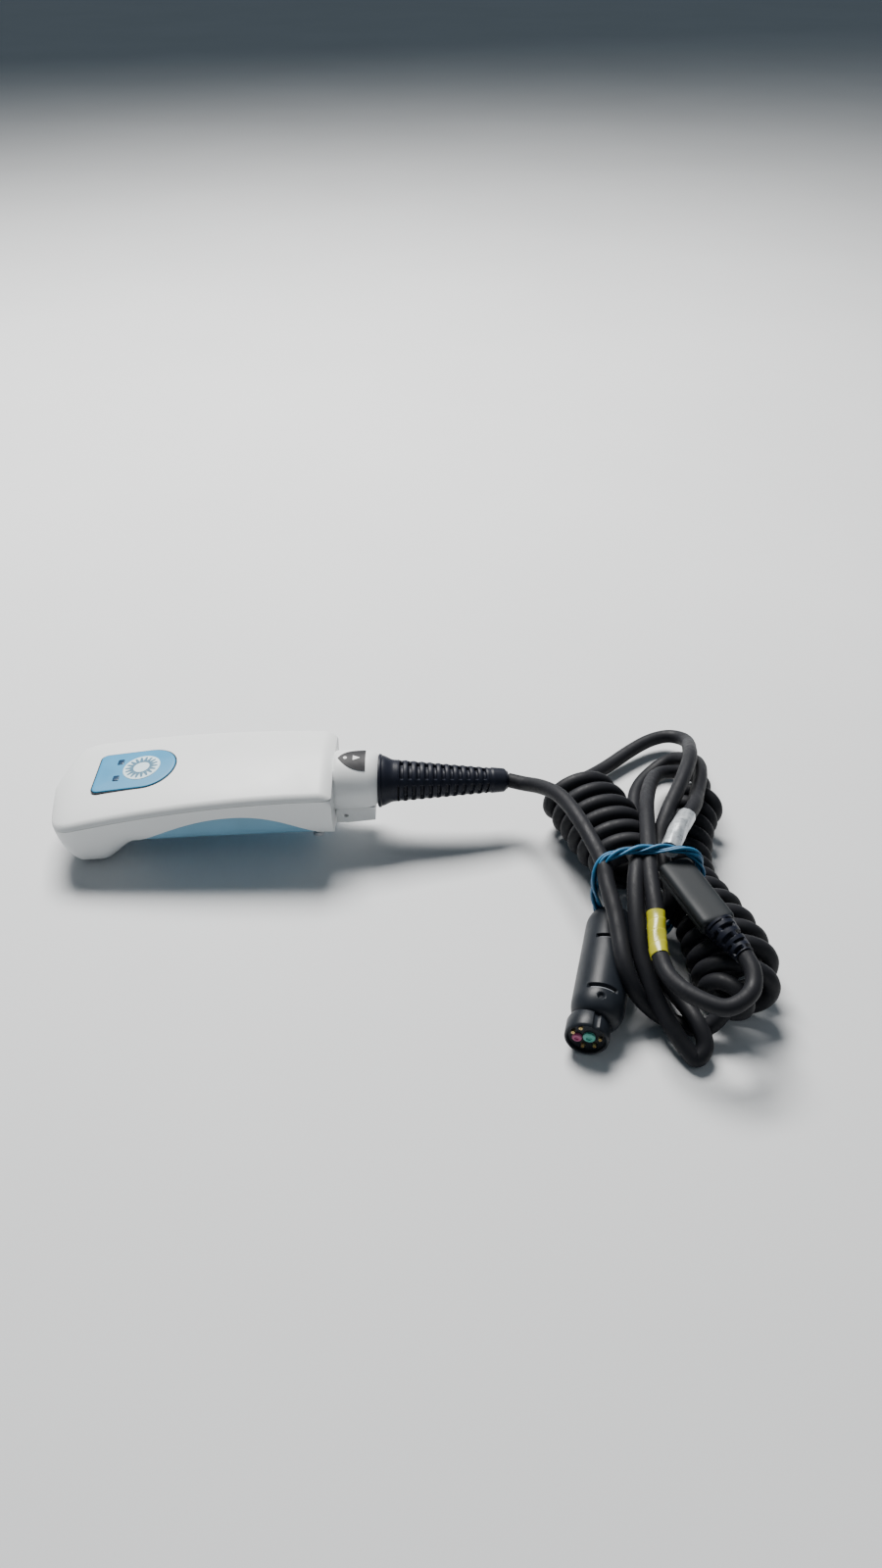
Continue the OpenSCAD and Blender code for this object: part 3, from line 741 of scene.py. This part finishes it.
def make_ferrite():
    """Round case: rounded ends, two latch slots, a split line along each side and two dimples."""
    steps = 180
    points = [ferrite_point(FERRITE_LENGTH * k / steps, 0, 0) for k in range(steps + 1)]

    def radius(s, a):
        x = s * FERRITE_LENGTH
        r = FERRITE_R
        if x < CASE_TOP_ROUND:
            near = (CASE_TOP_ROUND - x) / CASE_TOP_ROUND
            r = FERRITE_R - 0.0045 + 0.0045 * math.sqrt(max(0, 1 - near ** 2))
        if x > FERRITE_LENGTH - CASE_END_ROUND:
            near = (x - FERRITE_LENGTH + CASE_END_ROUND) / CASE_END_ROUND
            r = FERRITE_R - 0.0050 + 0.0050 * math.sqrt(max(0, 1 - near ** 2))
        turn = (a - math.radians(LATCH_TURN) + math.pi) % (2 * math.pi) - math.pi
        for slot in LATCH_SPOTS:
            inside = (1 - step_up(abs(x - slot), 0.0009, 0.0012)) * (1 - step_up(abs(turn), 0.55, 0.60))
            r -= 0.0016 * inside
        for dimple in DIMPLE_SPOTS:
            reach = math.hypot((x - dimple) / 0.0016, turn / 0.14)
            r -= 0.0012 * (1 - step_up(reach, 0.7, 1.1))
        if 0.006 < x < FERRITE_LENGTH - 0.006:
            r -= 0.0003 * (1 - step_up(abs(math.sin(a)), 0.015, 0.035))
        return r

    mesh = swept("ferrite_case", points, radius, 144)
    smooth(mesh, 35)
    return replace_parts(add_object("ferrite_case_look", mesh, DARK), "ferrite_case")


def make_latches():
    """A bright lip in each latch slot."""
    half_turn = 27
    lips = []
    for spot in LATCH_SPOTS:
        slot = spot + 0.0006
        rings = []
        for k in range(15):
            a = math.radians(LATCH_TURN - half_turn + 2 * half_turn * k / 14)
            ring = []
            for along, out in ((-0.0003, 0.0096), (-0.0003, 0.0108), (0.0003, 0.0110), (0.0005, 0.0096)):
                ring.append(ferrite_point(slot + along, out * math.cos(a), out * math.sin(a)))
            rings.append(ring)
        mesh = ring_mesh("latch", rings)
        smooth(mesh, 40)
        lips.append(add_object(f"latch_lip_{len(lips)}", mesh, LATCH))
    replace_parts(lips[0], "ferrite_latches")
    return lips


def plug_point(along, side, rise):
    return ferrite_point(FERRITE_LENGTH + along, PLUG_SIDE + side, rise - PLUG_DROP)


def make_end_plug():
    """The end plug: a round skirt with a keyway round a recessed face."""
    outer = PLUG_R
    profile = [(-0.0040, outer - 0.0032), (-0.0020, outer - 0.0008), (0.0000, outer), (0.0068, outer),
               (0.0076, outer - 0.0003), (0.0080, outer - 0.0008), (0.0077, outer - 0.0013),
               (0.0062, outer - 0.0015), (0.0060, outer - 0.0030), (0.0060, 0.0002)]
    rings = []
    for along, r in profile:
        ring = []
        for k in range(72):
            a = 2 * math.pi * k / 72
            key = 0.0008 * (1 - step_up(abs(a - 1.9), 0.10, 0.14)) if r > outer - 0.0010 else 0
            ring.append(plug_point(along, (r - key) * math.cos(a), (r - key) * math.sin(a)))
        rings.append(ring)
    mesh = ring_mesh("end_plug", rings)
    smooth(mesh, 40)
    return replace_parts(add_object("end_plug_look", mesh, DARK), "end_plug")


def make_contacts():
    """Coloured inserts and brass pins in the plug's face."""
    pieces = []
    pin_r = 0.0009
    spots = [(0.0040, -0.0008, 0.0021, PINK), (-0.0010, 0.0004, 0.0026, GREEN)]
    pins = [(0.0012, -0.0050), (-0.0036, -0.0040), (-0.0056, 0.0006), (0.0058, 0.0024), (0.0028, 0.0056)]
    spots += [(side, rise, pin_r, BRASS) for side, rise in pins]
    for k, (side, rise, r, material) in enumerate(spots):
        rings = []
        for along, width in ((0.0058, 1.0), (0.0070, 1.0), (0.0074, 0.8), (0.0074, 0.5), (0.0068, 0.42)):
            rings.append([plug_point(along, side + r * width * math.cos(a), rise + r * width * math.sin(a))
                          for a in (2 * math.pi * j / 20 for j in range(20))])
        mesh = ring_mesh("contact", rings)
        smooth(mesh, 40)
        pieces.append(add_object(f"plug_contact_{k}", mesh, material))
    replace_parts(pieces[0], "plug_contacts")
    return pieces


BAND_ROUTE = [
    (0.183, -0.076, 0.013), (0.180, -0.075, 0.024), (0.180, -0.074, 0.034), (0.184, -0.071, 0.042),
    (0.192, -0.069, 0.045), (0.202, -0.068, 0.046), (0.212, -0.069, 0.047), (0.221, -0.071, 0.046),
    (0.226, -0.073, 0.040), (0.226, -0.075, 0.030), (0.221, -0.076, 0.017), (0.214, -0.077, 0.005),
    (0.204, -0.078, 0.003), (0.192, -0.078, 0.003)]


# Each strand: where its twist starts, its turns, its distance from the middle and its thickness
BAND_STRANDS = [
    (0, 5, 0.0011, 0.0011), (2.1, 5, 0.0011, 0.0010), (4.2, 5, 0.0012, 0.0009), (1.0, 3, 0.0022, 0.0009)]
BAND_LOWEST = 0.0012


def make_bands():
    """Rubber bands wound round the bundle and twisted about each other."""
    centre = smooth_route(BAND_ROUTE, 12, loop=True)
    frames = frames_along(centre, loop=True)
    total = len(centre)
    bands = []
    for strand, (phase, twists, reach, thick) in enumerate(BAND_STRANDS):
        rings = []
        for i, (_, side, up) in enumerate(frames):
            share = i / total
            a = phase + 2 * math.pi * twists * share
            middle = centre[i] + side * (reach * math.cos(a)) + up * (reach * math.sin(a))
            middle.z = max(middle.z, BAND_LOWEST)
            flat = 0.8 + 0.2 * math.sin(a * 2)
            rings.append([middle + side * (thick * math.cos(b)) + up * (thick * flat * math.sin(b))
                          for b in (2 * math.pi * k / 12 for k in range(12))])
        mesh = ring_mesh("band", rings, loop=True)
        smooth(mesh, 60)
        bands.append(add_object(f"rubber_band_{strand}", mesh, BAND))
    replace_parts(bands[0], "rubber_band")
    return bands


tape = make_tape()
relief = make_relief()
coupler = make_coupler()
sleeve = make_sleeve()
ferrite = make_ferrite()
latches = make_latches()
end_plug = make_end_plug()
contacts = make_contacts()
bands = make_bands()

# ---------------------------------------------------------------- body

NOSE_X = -0.0815
NOSE_START_X = -0.062  # the nose's rounding starts here
REAR_X = 0.058
REAR_HEIGHT = 0.047
REAR_HALF_WIDTH = 0.028
NOSE_FLARE = 0.0075
BOW = 0.85  # the top falls by this times the square of the distance from the rear, in metres
COVER_DEPTH = 0.0066
WALL = 0.0025
EDGE_R = 0.0044
BELLY_R = 0.018
CROWN = 0.0032
CROWN_SHARE = 1.15  # fall of the crown at half the body's width, as a share of CROWN
SHOULDER_X = 0.051
SHOULDER_DROP = 0.0032
NOSE_RISE = 0.011
HOUSING_STEP = 0.0006
SEAM_GAP = 0.0007
ARCH_X = 0.013
ARCH_TOP = 0.0315
ARCH_LONG_R = 0.084
ARCH_SHORT_R = 0.058
ARCH_END_X = 0.0505
WINDOW_HALF_WIDTH = 0.0226
WINDOW_LOW = 0.0099
WINDOW_HIGH = 0.0206


def clamped(share):
    return min(1.0, max(0.0, share))


def along_body(x):
    """0 at the cable end, 1 at the tip of the nose."""
    return clamped((REAR_X - x) / (REAR_X - NOSE_X))


def nose_turn(x):
    """0 where the nose's rounding starts, 1 at its tip."""
    return clamped((NOSE_START_X - x) / (NOSE_START_X - NOSE_X))


def half_width(x):
    """The nose's rounding in plan is a superellipse of power 3.2 that stops just short of a point."""
    rounding = max(1 - (0.985 * nose_turn(x)) ** 3.2, 0) ** (1 / 3.2)
    return (REAR_HALF_WIDTH + NOSE_FLARE * along_body(x) ** 1.3) * rounding


def part_z(x):
    """Height of the bowed parting line."""
    return REAR_HEIGHT - BOW * (REAR_X - x) ** 2 - COVER_DEPTH


def top_z(x):
    shoulder = SHOULDER_DROP * clamped((x - SHOULDER_X) / (REAR_X - SHOULDER_X)) ** 2.2
    return REAR_HEIGHT - BOW * (REAR_X - x) ** 2 - 0.0035 * nose_turn(x) ** 4 - shoulder


def bottom_z(x):
    """Chin on the ground, a step up to the grip's underside, and a rise to the tip of the nose."""
    rear_rise = 0.0015 * clamped((x + 0.030) / 0.080)
    nose_rise = NOSE_RISE * clamped((-0.066 - x) / 0.0155) ** 1.2
    return -0.0012 + 0.0112 * step_up(x, -0.057, -0.039) + rear_rise + nose_rise


def section(x, inset=0.0, corner=10):
    """The body's outline at x: along the underside, up one side, over the top and down the other."""
    w = max(half_width(x) - inset, 0.003)
    zt = top_z(x) - inset
    zb = bottom_z(x) + inset
    rt = max(EDGE_R - inset, 0.001)
    rb = max(BELLY_R - 0.004 * nose_turn(x) ** 2 - inset, 0.001)
    rb = min(rb, w - 0.0005, zt - CROWN - rt - zb - 0.0005)
    lean = 0.3 * nose_turn(x) ** 2
    far = [(w * k / 4 * (1 - rb / w), zb) for k in range(4)]
    far += [(w - rb + rb * math.sin(math.radians(90 * k / corner)),
             zb + rb - rb * math.cos(math.radians(90 * k / corner))) for k in range(corner + 1)]
    wall_low, wall_high = zb + rb, zt - CROWN - rt
    far += [(w, wall_low + (wall_high - wall_low) * k / 4) for k in range(1, 4)]
    far += [(w - rt + rt * math.cos(math.radians(76 * k / corner)),
             zt - CROWN - rt + rt * math.sin(math.radians(76 * k / corner))) for k in range(corner + 1)]
    edge, drop = far[-1][0], zt - far[-1][1]
    far += [(edge * (1 - k / 8), zt - drop * (1 - k / 8) ** 2) for k in range(1, 8)]
    outline = far + [(0, zt)] + [(-y, z) for y, z in reversed(far[1:])]
    return [Vector((x + lean * (zt + inset - z), y, max(z, 0.0))) for y, z in outline]


def stations(start, end, count):
    return [start + (end - start) * k / (count - 1) for k in range(count)]


def body_stations():
    """Places along the body, close together where the nose and the rear shoulder turn."""
    nose_length = NOSE_X - NOSE_START_X
    nose = [NOSE_START_X + nose_length * math.sin(math.radians(90 * k / 26)) for k in range(26, 0, -1)]
    return nose + stations(NOSE_START_X, SHOULDER_X, 80) + stations(SHOULDER_X + 0.0005, REAR_X, 14)


def body_solid(name, inset, places):
    return ring_mesh(name, [section(x, inset) for x in places])


def upper_cutter(offset, high=0.08):
    """Everything above the parting line."""
    line = [(x, part_z(x) + offset) for x in stations(-0.100, 0.070, 60)]
    return scratch("cutter", prism("cutter", line + [(0.070, high), (-0.100, high)], -0.06, 0.06, "Y"))


def shell(name, inset=0.0):
    """The body's outer shape with its hollow."""
    outer = scratch(name, body_solid(name, inset, body_stations()))
    inner_places = [x for x in body_stations() if -0.0785 < x < 0.0545]
    inner = scratch("inner", body_solid("inner", WALL, inner_places))
    facing_out(outer.data)
    facing_out(inner.data)
    return cut(outer, [inner])


KEY_X = -0.035
KEY_FLAT_X = -0.060
KEY_HALF = 0.015
KEY_SLOPE = math.radians(8.6)
KEY_Z = REAR_HEIGHT - BOW * (REAR_X - KEY_X) ** 2


def key_outline(grow, corner=0.003):
    """D-shaped outline: a half circle towards the cable and a flat end with small corners."""
    r = KEY_HALF + grow
    c = corner + grow
    points = arc((KEY_X, 0), r, -90, 90, 41)
    points += arc((KEY_FLAT_X - grow + c, r - c), c, 90, 180, 8)
    points += arc((KEY_FLAT_X - grow + c, -r + c), c, 180, 270, 8)
    return points


def key_matrix():
    return (Matrix.Translation((KEY_X, 0, KEY_Z)) @ Matrix.Rotation(-KEY_SLOPE, 4, "Y")
            @ Matrix.Translation((-KEY_X, 0, 0)))


def on_key_plane(mesh):
    """Moves a flat mesh into the sloping plane of the key."""
    mesh.transform(key_matrix())
    return mesh


def finish_shell(obj, material, node, body="scanner", angle=30):
    """Gives a finished piece its material and its place in the frame."""
    obj.data.materials.clear()
    obj.data.materials.append(material)
    smooth(obj.data, angle)
    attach(obj, body)
    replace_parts(obj, node)
    return obj


def make_top_cover():
    """Upper part of the shell with the key's opening."""
    obj = shell("top_cover_look")
    cut(obj, [upper_cutter(0)], "INTERSECT")
    cutter = scratch("cutter", on_key_plane(prism("cutter", key_outline(0.0006), -0.007, 0.007)))
    cut(obj, [cutter])
    return finish_shell(obj, WHITE, "top_cover")


def arch_outline(gap=0.0):
    """Side opening: a long arc towards the nose and a shorter one towards the cable."""
    nose_side = arc((ARCH_X, ARCH_TOP - ARCH_LONG_R), ARCH_LONG_R - gap, 150, 90, 60)
    cable_side = arc((ARCH_X, ARCH_TOP - ARCH_SHORT_R), ARCH_SHORT_R - gap, 89, 45, 40)
    low_x, high_x = -0.060 + gap, ARCH_END_X - gap
    points = [p for p in nose_side + cable_side if low_x < p[0] < high_x and p[1] > -0.003]
    return [(points[0][0], -0.010)] + points + [(points[-1][0], -0.010)]


def make_lower_housing():
    """Lower part of the shell: side arches, the nose window and a round recess near the rear corner."""
    obj = shell("lower_housing_look", HOUSING_STEP)
    window = [(WINDOW_HALF_WIDTH, WINDOW_LOW), (WINDOW_HALF_WIDTH, WINDOW_HIGH),
              (-WINDOW_HALF_WIDTH, WINDOW_HIGH), (-WINDOW_HALF_WIDTH, WINDOW_LOW)]
    recess = arc((0.053, 0.017), 0.0022, 0, 345, 24)
    prisms = [prism("cutter", arch_outline(), -0.06, 0.06, "Y"),
              prism("cutter", window, -0.095, -0.0745, "X"),
              prism("cutter", recess, -0.030, -0.0215, "Y")]
    cut(obj, [upper_cutter(-SEAM_GAP)] + [scratch("cutter", mesh) for mesh in prisms])
    return finish_shell(obj, WHITE, "lower_housing")


def make_grip():
    """Solid insert that fills the arches flush with the housing."""
    places = stations(-0.045, 0.0500, 90)
    obj = scratch("grip_insert_look", body_solid("grip", HOUSING_STEP + 0.0003, places))
    facing_out(obj.data)
    cut(obj, [scratch("cutter", prism("cutter", arch_outline(0.0003), -0.06, 0.06, "Y"))], "INTERSECT")
    return finish_shell(obj, GRIP, "grip_insert")


def crowned(mesh):
    """Lets a flat piece in the key's plane follow the crown of the cover."""
    for vertex in mesh.vertices:
        share = vertex.co.y / half_width(vertex.co.x)
        vertex.co.z -= CROWN_SHARE * CROWN * share * share
    return mesh


def make_gasket():
    """Thin dark ring between the key and the cover."""
    rings = []
    for grow, z in ((0.00060, -0.0028), (0.00060, 0.0), (0.00022, 0.0), (0.00022, -0.0028)):
        rings.append([(x, y, z) for x, y in key_outline(grow)])
    mesh = ring_mesh("gasket", rings, loop=True)
    crowned(on_key_plane(mesh))
    smooth(mesh, 40)
    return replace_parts(add_object("panel_gasket_look", mesh, RUBBER), "panel_gasket")


def make_key():
    """The key's cap with a rounded shoulder."""
    cap_top = 0.00045
    shoulder = 0.0006
    profile = [(0, -0.0022), (0, 0.0000), (-0.0001, 0.00025), (-0.0003, 0.0004), (-shoulder, cap_top)]
    rings = [[(x, y, z) for x, y in key_outline(grow)] for grow, z in profile]
    middle = -0.040
    rim = key_outline(-shoulder)
    for share in (0.93, 0.86, 0.78, 0.70, 0.60, 0.50, 0.40, 0.30, 0.20, 0.10, 0.01):
        rings.append([(middle + (x - middle) * share, y * share, cap_top) for x, y in rim])
    mesh = ring_mesh("key", rings)
    crowned(on_key_plane(mesh))
    smooth(mesh, 40)
    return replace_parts(add_object("trigger_key_look", mesh, KEY, "trigger"), "trigger_key")


EMBLEM_X = -0.037
EMBLEM_TICKS = 18
EMBLEM_R = 0.0096


def disc(radius, low, high, chamfer, centre=(EMBLEM_X, 0), count=64):
    """A flat round plate with a small chamfer round its top."""
    turns = [2 * math.pi * k / count for k in range(count)]
    rings = []
    for r, z in ((radius, low), (radius, high - chamfer), (radius - chamfer, high), (0.0001, high)):
        rings.append([(centre[0] + r * math.cos(a), centre[1] + r * math.sin(a), z) for a in turns])
    return ring_mesh("disc", rings)


def make_emblem():
    """Pale disc with a ring of dark teeth round a plain centre."""
    plate = crowned(on_key_plane(disc(EMBLEM_R - 0.0002, -0.0002, 0.0007, 0.0002)))
    smooth(plate, 40)
    pieces = [add_object("key_emblem_look", plate, PALE, "trigger")]
    half_tooth = [(0.0040, 0.00072), (0.0056, 0.00084), (0.0066, 0.00062),
                  (0.0076, 0.00056), (0.0081, 0.00034)]
    tooth = half_tooth + [(0.0082, 0.0)] + [(r, -side) for r, side in reversed(half_tooth)]
    n = len(tooth)
    mesh = bpy.data.meshes.new("ticks")
    verts, faces = [], []
    for k in range(EMBLEM_TICKS):
        turn = 2 * math.pi * k / EMBLEM_TICKS
        base = len(verts)
        for z in (0.0006, 0.00076):
            for r, side in tooth:
                x = r * math.cos(turn) - side * math.sin(turn)
                y = r * math.sin(turn) + side * math.cos(turn)
                verts.append((EMBLEM_X + x, y, z))
        faces.append(tuple(base + n + j for j in range(n)))
        faces.append(tuple(base + j for j in reversed(range(n))))
        faces += [(base + j, base + (j + 1) % n, base + n + (j + 1) % n, base + n + j) for j in range(n)]
    mesh.from_pydata(verts, [], faces)
    mesh.update()
    crowned(on_key_plane(mesh))
    pieces.append(add_object("emblem_ticks", mesh, TICK, "trigger"))
    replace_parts(pieces[0], "key_emblem")
    return pieces


LIGHT_X = -0.0488
LIGHT_Y = 0.0065
LIGHT_SIZE = (0.0032, 0.0040)


def make_lights():
    """Two small indicator lenses with softened tops."""
    lights = []
    for k, side in enumerate((-LIGHT_Y, LIGHT_Y)):
        rings = []
        for shrink, z in ((0, -0.0014), (0, 0.00040), (0.0002, 0.00055), (0.0006, 0.0006)):
            outline = rounded_rectangle(LIGHT_SIZE[0] - shrink, LIGHT_SIZE[1] - shrink, 0.0006)
            rings.append([(LIGHT_X + x, y + side, z) for x, y in outline])
        mesh = on_key_plane(ring_mesh("light", rings))
        smooth(mesh, 40)
        lights.append(add_object(f"status_light_{k}", mesh, LENS, "trigger"))
    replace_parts(lights[0], "status_lights")
    return lights


COLLAR_R = 0.0152
COLLAR_Z = 0.0315
COLLAR_END_X = 0.0795
COLLAR_BORE = 0.0080
BOOT_START_X = 0.0815


def collar_ring(x, r, count=96):
    """A ring of points about the collar's axis."""
    turns = [2 * math.pi * k / count for k in range(count)]
    return [Vector((x, r * math.cos(a), COLLAR_Z + r * math.sin(a))) for a in turns]


def make_collar():
    """Round collar with a wide shoulder towards the cable, cut off above the clip."""
    # Each pair: place along the body and how far the surface lies inside the collar's radius
    profile = [(REAR_X, 0.0010), (0.0586, 0.0005), (0.0594, 0.0002), (0.0606, 0), (0.0735, 0),
               (0.0752, 0.0002), (0.0766, 0.0006), (0.0778, 0.0012), (0.0787, 0.0018),
               (COLLAR_END_X, 0.0027)]
    rings = [collar_ring(x, COLLAR_R - inside) for x, inside in profile]
    rings += [collar_ring(COLLAR_END_X, COLLAR_BORE), collar_ring(REAR_X, COLLAR_BORE)]
    obj = scratch("cable_collar_look", ring_mesh("collar", rings, loop=True))
    wedge = [(0.050, 0.005), (0.090, 0.005), (0.090, 0.02753), (0.050, 0.0222)]
    cut(obj, [scratch("cutter", prism("cutter", wedge, -0.03, 0.03, "Y"))])
    return finish_shell(obj, WHITE, "cable_collar")


def make_clip():
    """The clip's body is the CAD shape with softened edges."""
    source = frame["nodes"]["collar_clip"]
    mesh = source.data.copy()
    obj = scratch("collar_clip_look", mesh)
    work = bmesh.new()
    work.from_mesh(obj.data)
    bmesh.ops.remove_doubles(work, verts=work.verts, dist=0.00001)
    bmesh.ops.dissolve_limit(work, angle_limit=math.radians(2), verts=work.verts, edges=work.edges)
    work.to_mesh(obj.data)
    work.free()
    rounded(obj, 0.0004, 2, 50)
    return finish_shell(obj, WHITE, "collar_clip", "clip")


MARK_X = 0.067
MARK_TURN = 6  # the mark leans this far to the near side, degrees


def mark_points():
    """A shield outline: two arcs meeting at a point and a straight edge towards the cable."""
    far = arc((0.006, -0.0075), 0.015, 150, 88, 20)
    near = arc((0.006, 0.0075), 0.015, -88, -150, 20)
    edge = [(far[-1][0], far[-1][1] * (1 - k / 6)) for k in range(1, 12)]
    return far + edge + near


def bent_on_collar(points, lift):
    """Lays flat points on the collar's round surface."""
    turn = math.radians(MARK_TURN)
    out = []
    for x, y in points:
        a = math.pi / 2 - y / COLLAR_R + turn
        r = COLLAR_R + lift
        out.append((MARK_X + x, r * math.cos(a), COLLAR_Z + r * math.sin(a)))
    return out


def bent_plate(name, points, low, high, material):
    """A thin plate bent over the collar, filled by rings that shrink to its middle."""
    mid_x = sum(p[0] for p in points) / len(points)
    mid_y = sum(p[1] for p in points) / len(points)
    rings = []
    for share, lift in ((1.0, low), (1.0, high), (0.7, high), (0.4, high), (0.05, high)):
        ring = [(mid_x + (x - mid_x) * share, mid_y + (y - mid_y) * share) for x, y in points]
        rings.append(bent_on_collar(ring, lift))
    mesh = ring_mesh(name, rings)
    smooth(mesh, 40)
    return add_object(name, mesh, material)


def make_mark():
    """Dark shield with a pale dot and a pale arrow."""
    plate = bent_plate("collar_mark_look", mark_points(), -0.0002, 0.00028, MARK)
    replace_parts(plate, "collar_mark")
    dot = [(-0.0034 + x, y) for x, y in arc((0, 0), 0.0009, 0, 342, 20)]
    bent_plate("mark_dot", dot, 0.0002, 0.00040, MARK_WHITE)
    arrow = [(0.0004, 0.0016), (0.0004, -0.0016), (0.0040, 0.0)]
    bent_plate("mark_arrow", arrow, 0.0002, 0.00040, MARK_WHITE)
    return plate


def make_seal():
    """Rounded black ring at the collar's end."""
    profile = [(COLLAR_END_X, 0.0082), (COLLAR_END_X, 0.0128), (0.0799, 0.0133), (0.0804, 0.0134),
               (0.0810, 0.0132), (0.0814, 0.0127), (BOOT_START_X, 0.0122), (BOOT_START_X, 0.0082)]
    mesh = ring_mesh("seal", [collar_ring(x, r) for x, r in profile], loop=True)
    smooth(mesh, 40)
    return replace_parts(add_object("collar_seal_look", mesh, RUBBER), "collar_seal")


BOOT_LENGTH = 0.062
BOOT_R = 0.0110
BOOT_TAPER = 0.0056
BOOT_CUFF = 0.0016
BOOT_SLOTS = 11
BOOT_SLOT_DEPTH = 0.0024
BOOT_TURN = 0.25  # the rows of slots are turned this far to the near side, radians


def slot_at(place):
    """1 inside a slot and 0 on a rib, for a place between 0 and 1 along one of them."""
    return step_up(place, 0.20, 0.30) * (1 - step_up(place, 0.62, 0.72))


def make_boot():
    """Ribbed boot: rows of slots above and below, rows between them on the sides, and a wide cuff."""
    steps = 460
    points = []
    for k in range(steps + 1):
        s = k / steps
        points.append(Vector((BOOT_START_X + BOOT_LENGTH * s, 0.005 * s * s, COLLAR_Z - 0.0035 * s * s)))

    def radius(s, a):
        base = BOOT_R - BOOT_TAPER * s + BOOT_CUFF * (1 - step_up(s, 0.0, 0.09))
        row = (s - 0.12) / 0.72 * BOOT_SLOTS
        if 0 <= row < BOOT_SLOTS:
            upright = 1 - step_up(abs(math.cos(a + BOOT_TURN)), 0.52, 0.60)
            level = 1 - step_up(abs(math.sin(a + BOOT_TURN)), 0.52, 0.60)
            slot = max(slot_at(row % 1.0) * upright, slot_at((row + 0.5) % 1.0) * level)
            base -= BOOT_SLOT_DEPTH * (1 - 0.35 * s) * slot
            base += 0.0002 * math.cos(2 * math.pi * row)
        if s > 0.86:
            base += 0.0004 * step_up(s, 0.86, 0.88) - 0.0012 * step_up(s, 0.97, 1.0)
        return base

    mesh = swept("boot", points, radius, 120)
    smooth(mesh, 35)
    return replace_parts(add_object("strain_boot_look", mesh, RUBBER), "strain_boot")


make_top_cover()
make_lower_housing()
make_grip()
make_gasket()
make_key()
make_emblem()
make_lights()
make_collar()
make_clip()
make_mark()
make_seal()
make_boot()

# ---------------------------------------------------------------- table and light


def make_table():
    """A plain pale table top."""
    corners = [[(-6, -3, 0), (6, -3, 0)], [(-6, 14, 0), (6, 14, 0)]]
    mesh = ring_mesh("table", corners, closed=False, caps=False)
    obj = bpy.data.objects.new("table", mesh)
    bpy.context.scene.collection.objects.link(obj)
    material, nodes, links, shader = new_material("table_top")
    soft = noise(nodes, links, 3.0, 3.0)
    links.new(mixed(nodes, links, spread(nodes, links, soft.outputs["Fac"], 0.0, 1.0),
                    (0.66, 0.67, 0.68), (0.70, 0.71, 0.72)), shader.inputs["Base Color"])
    shader.inputs["Roughness"].default_value = 0.75
    mesh.materials.append(material)
    obj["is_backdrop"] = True


def make_area(name, place, aim, size, power, colour=(1, 1, 1)):
    data = bpy.data.lights.new(name, "AREA")
    data.shape = "RECTANGLE"
    data.size, data.size_y = size
    data.energy = power
    data.color = colour
    obj = bpy.data.objects.new(name, data)
    obj.location = place
    obj.rotation_euler = (Vector(aim) - Vector(place)).to_track_quat("-Z", "Y").to_euler()
    bpy.context.scene.collection.objects.link(obj)
    obj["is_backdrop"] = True


WORLD_COLOUR = (0.66, 0.84, 1.0, 1)
WORLD_STRENGTH = 0.13
KEY_LIGHT_PLACE = (-0.15, 0.80, 1.30)
KEY_LIGHT_POWER = 60
FILL_LIGHT_PLACE = (0.9, -0.7, 1.2)
FILL_LIGHT_POWER = 1.5


def make_world():
    world = bpy.data.worlds.new("room")
    world.use_nodes = True
    background = world.node_tree.nodes["Background"]
    background.inputs["Color"].default_value = WORLD_COLOUR
    background.inputs["Strength"].default_value = WORLD_STRENGTH
    bpy.context.scene.world = world


make_table()
make_world()
make_area("key_light", KEY_LIGHT_PLACE, (0.08, 0, 0), (0.8, 0.6), KEY_LIGHT_POWER, (1.0, 0.985, 0.96))
make_area("fill_light", FILL_LIGHT_PLACE, (0.1, 0, 0), (1.0, 1.0), FILL_LIGHT_POWER)

scene_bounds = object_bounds()


def plain(value):
    if hasattr(value, "__len__"):
        return [plain(v) for v in value]
    return float(value)


{"cad": plain(cad_bounds), "scene": plain(scene_bounds)}
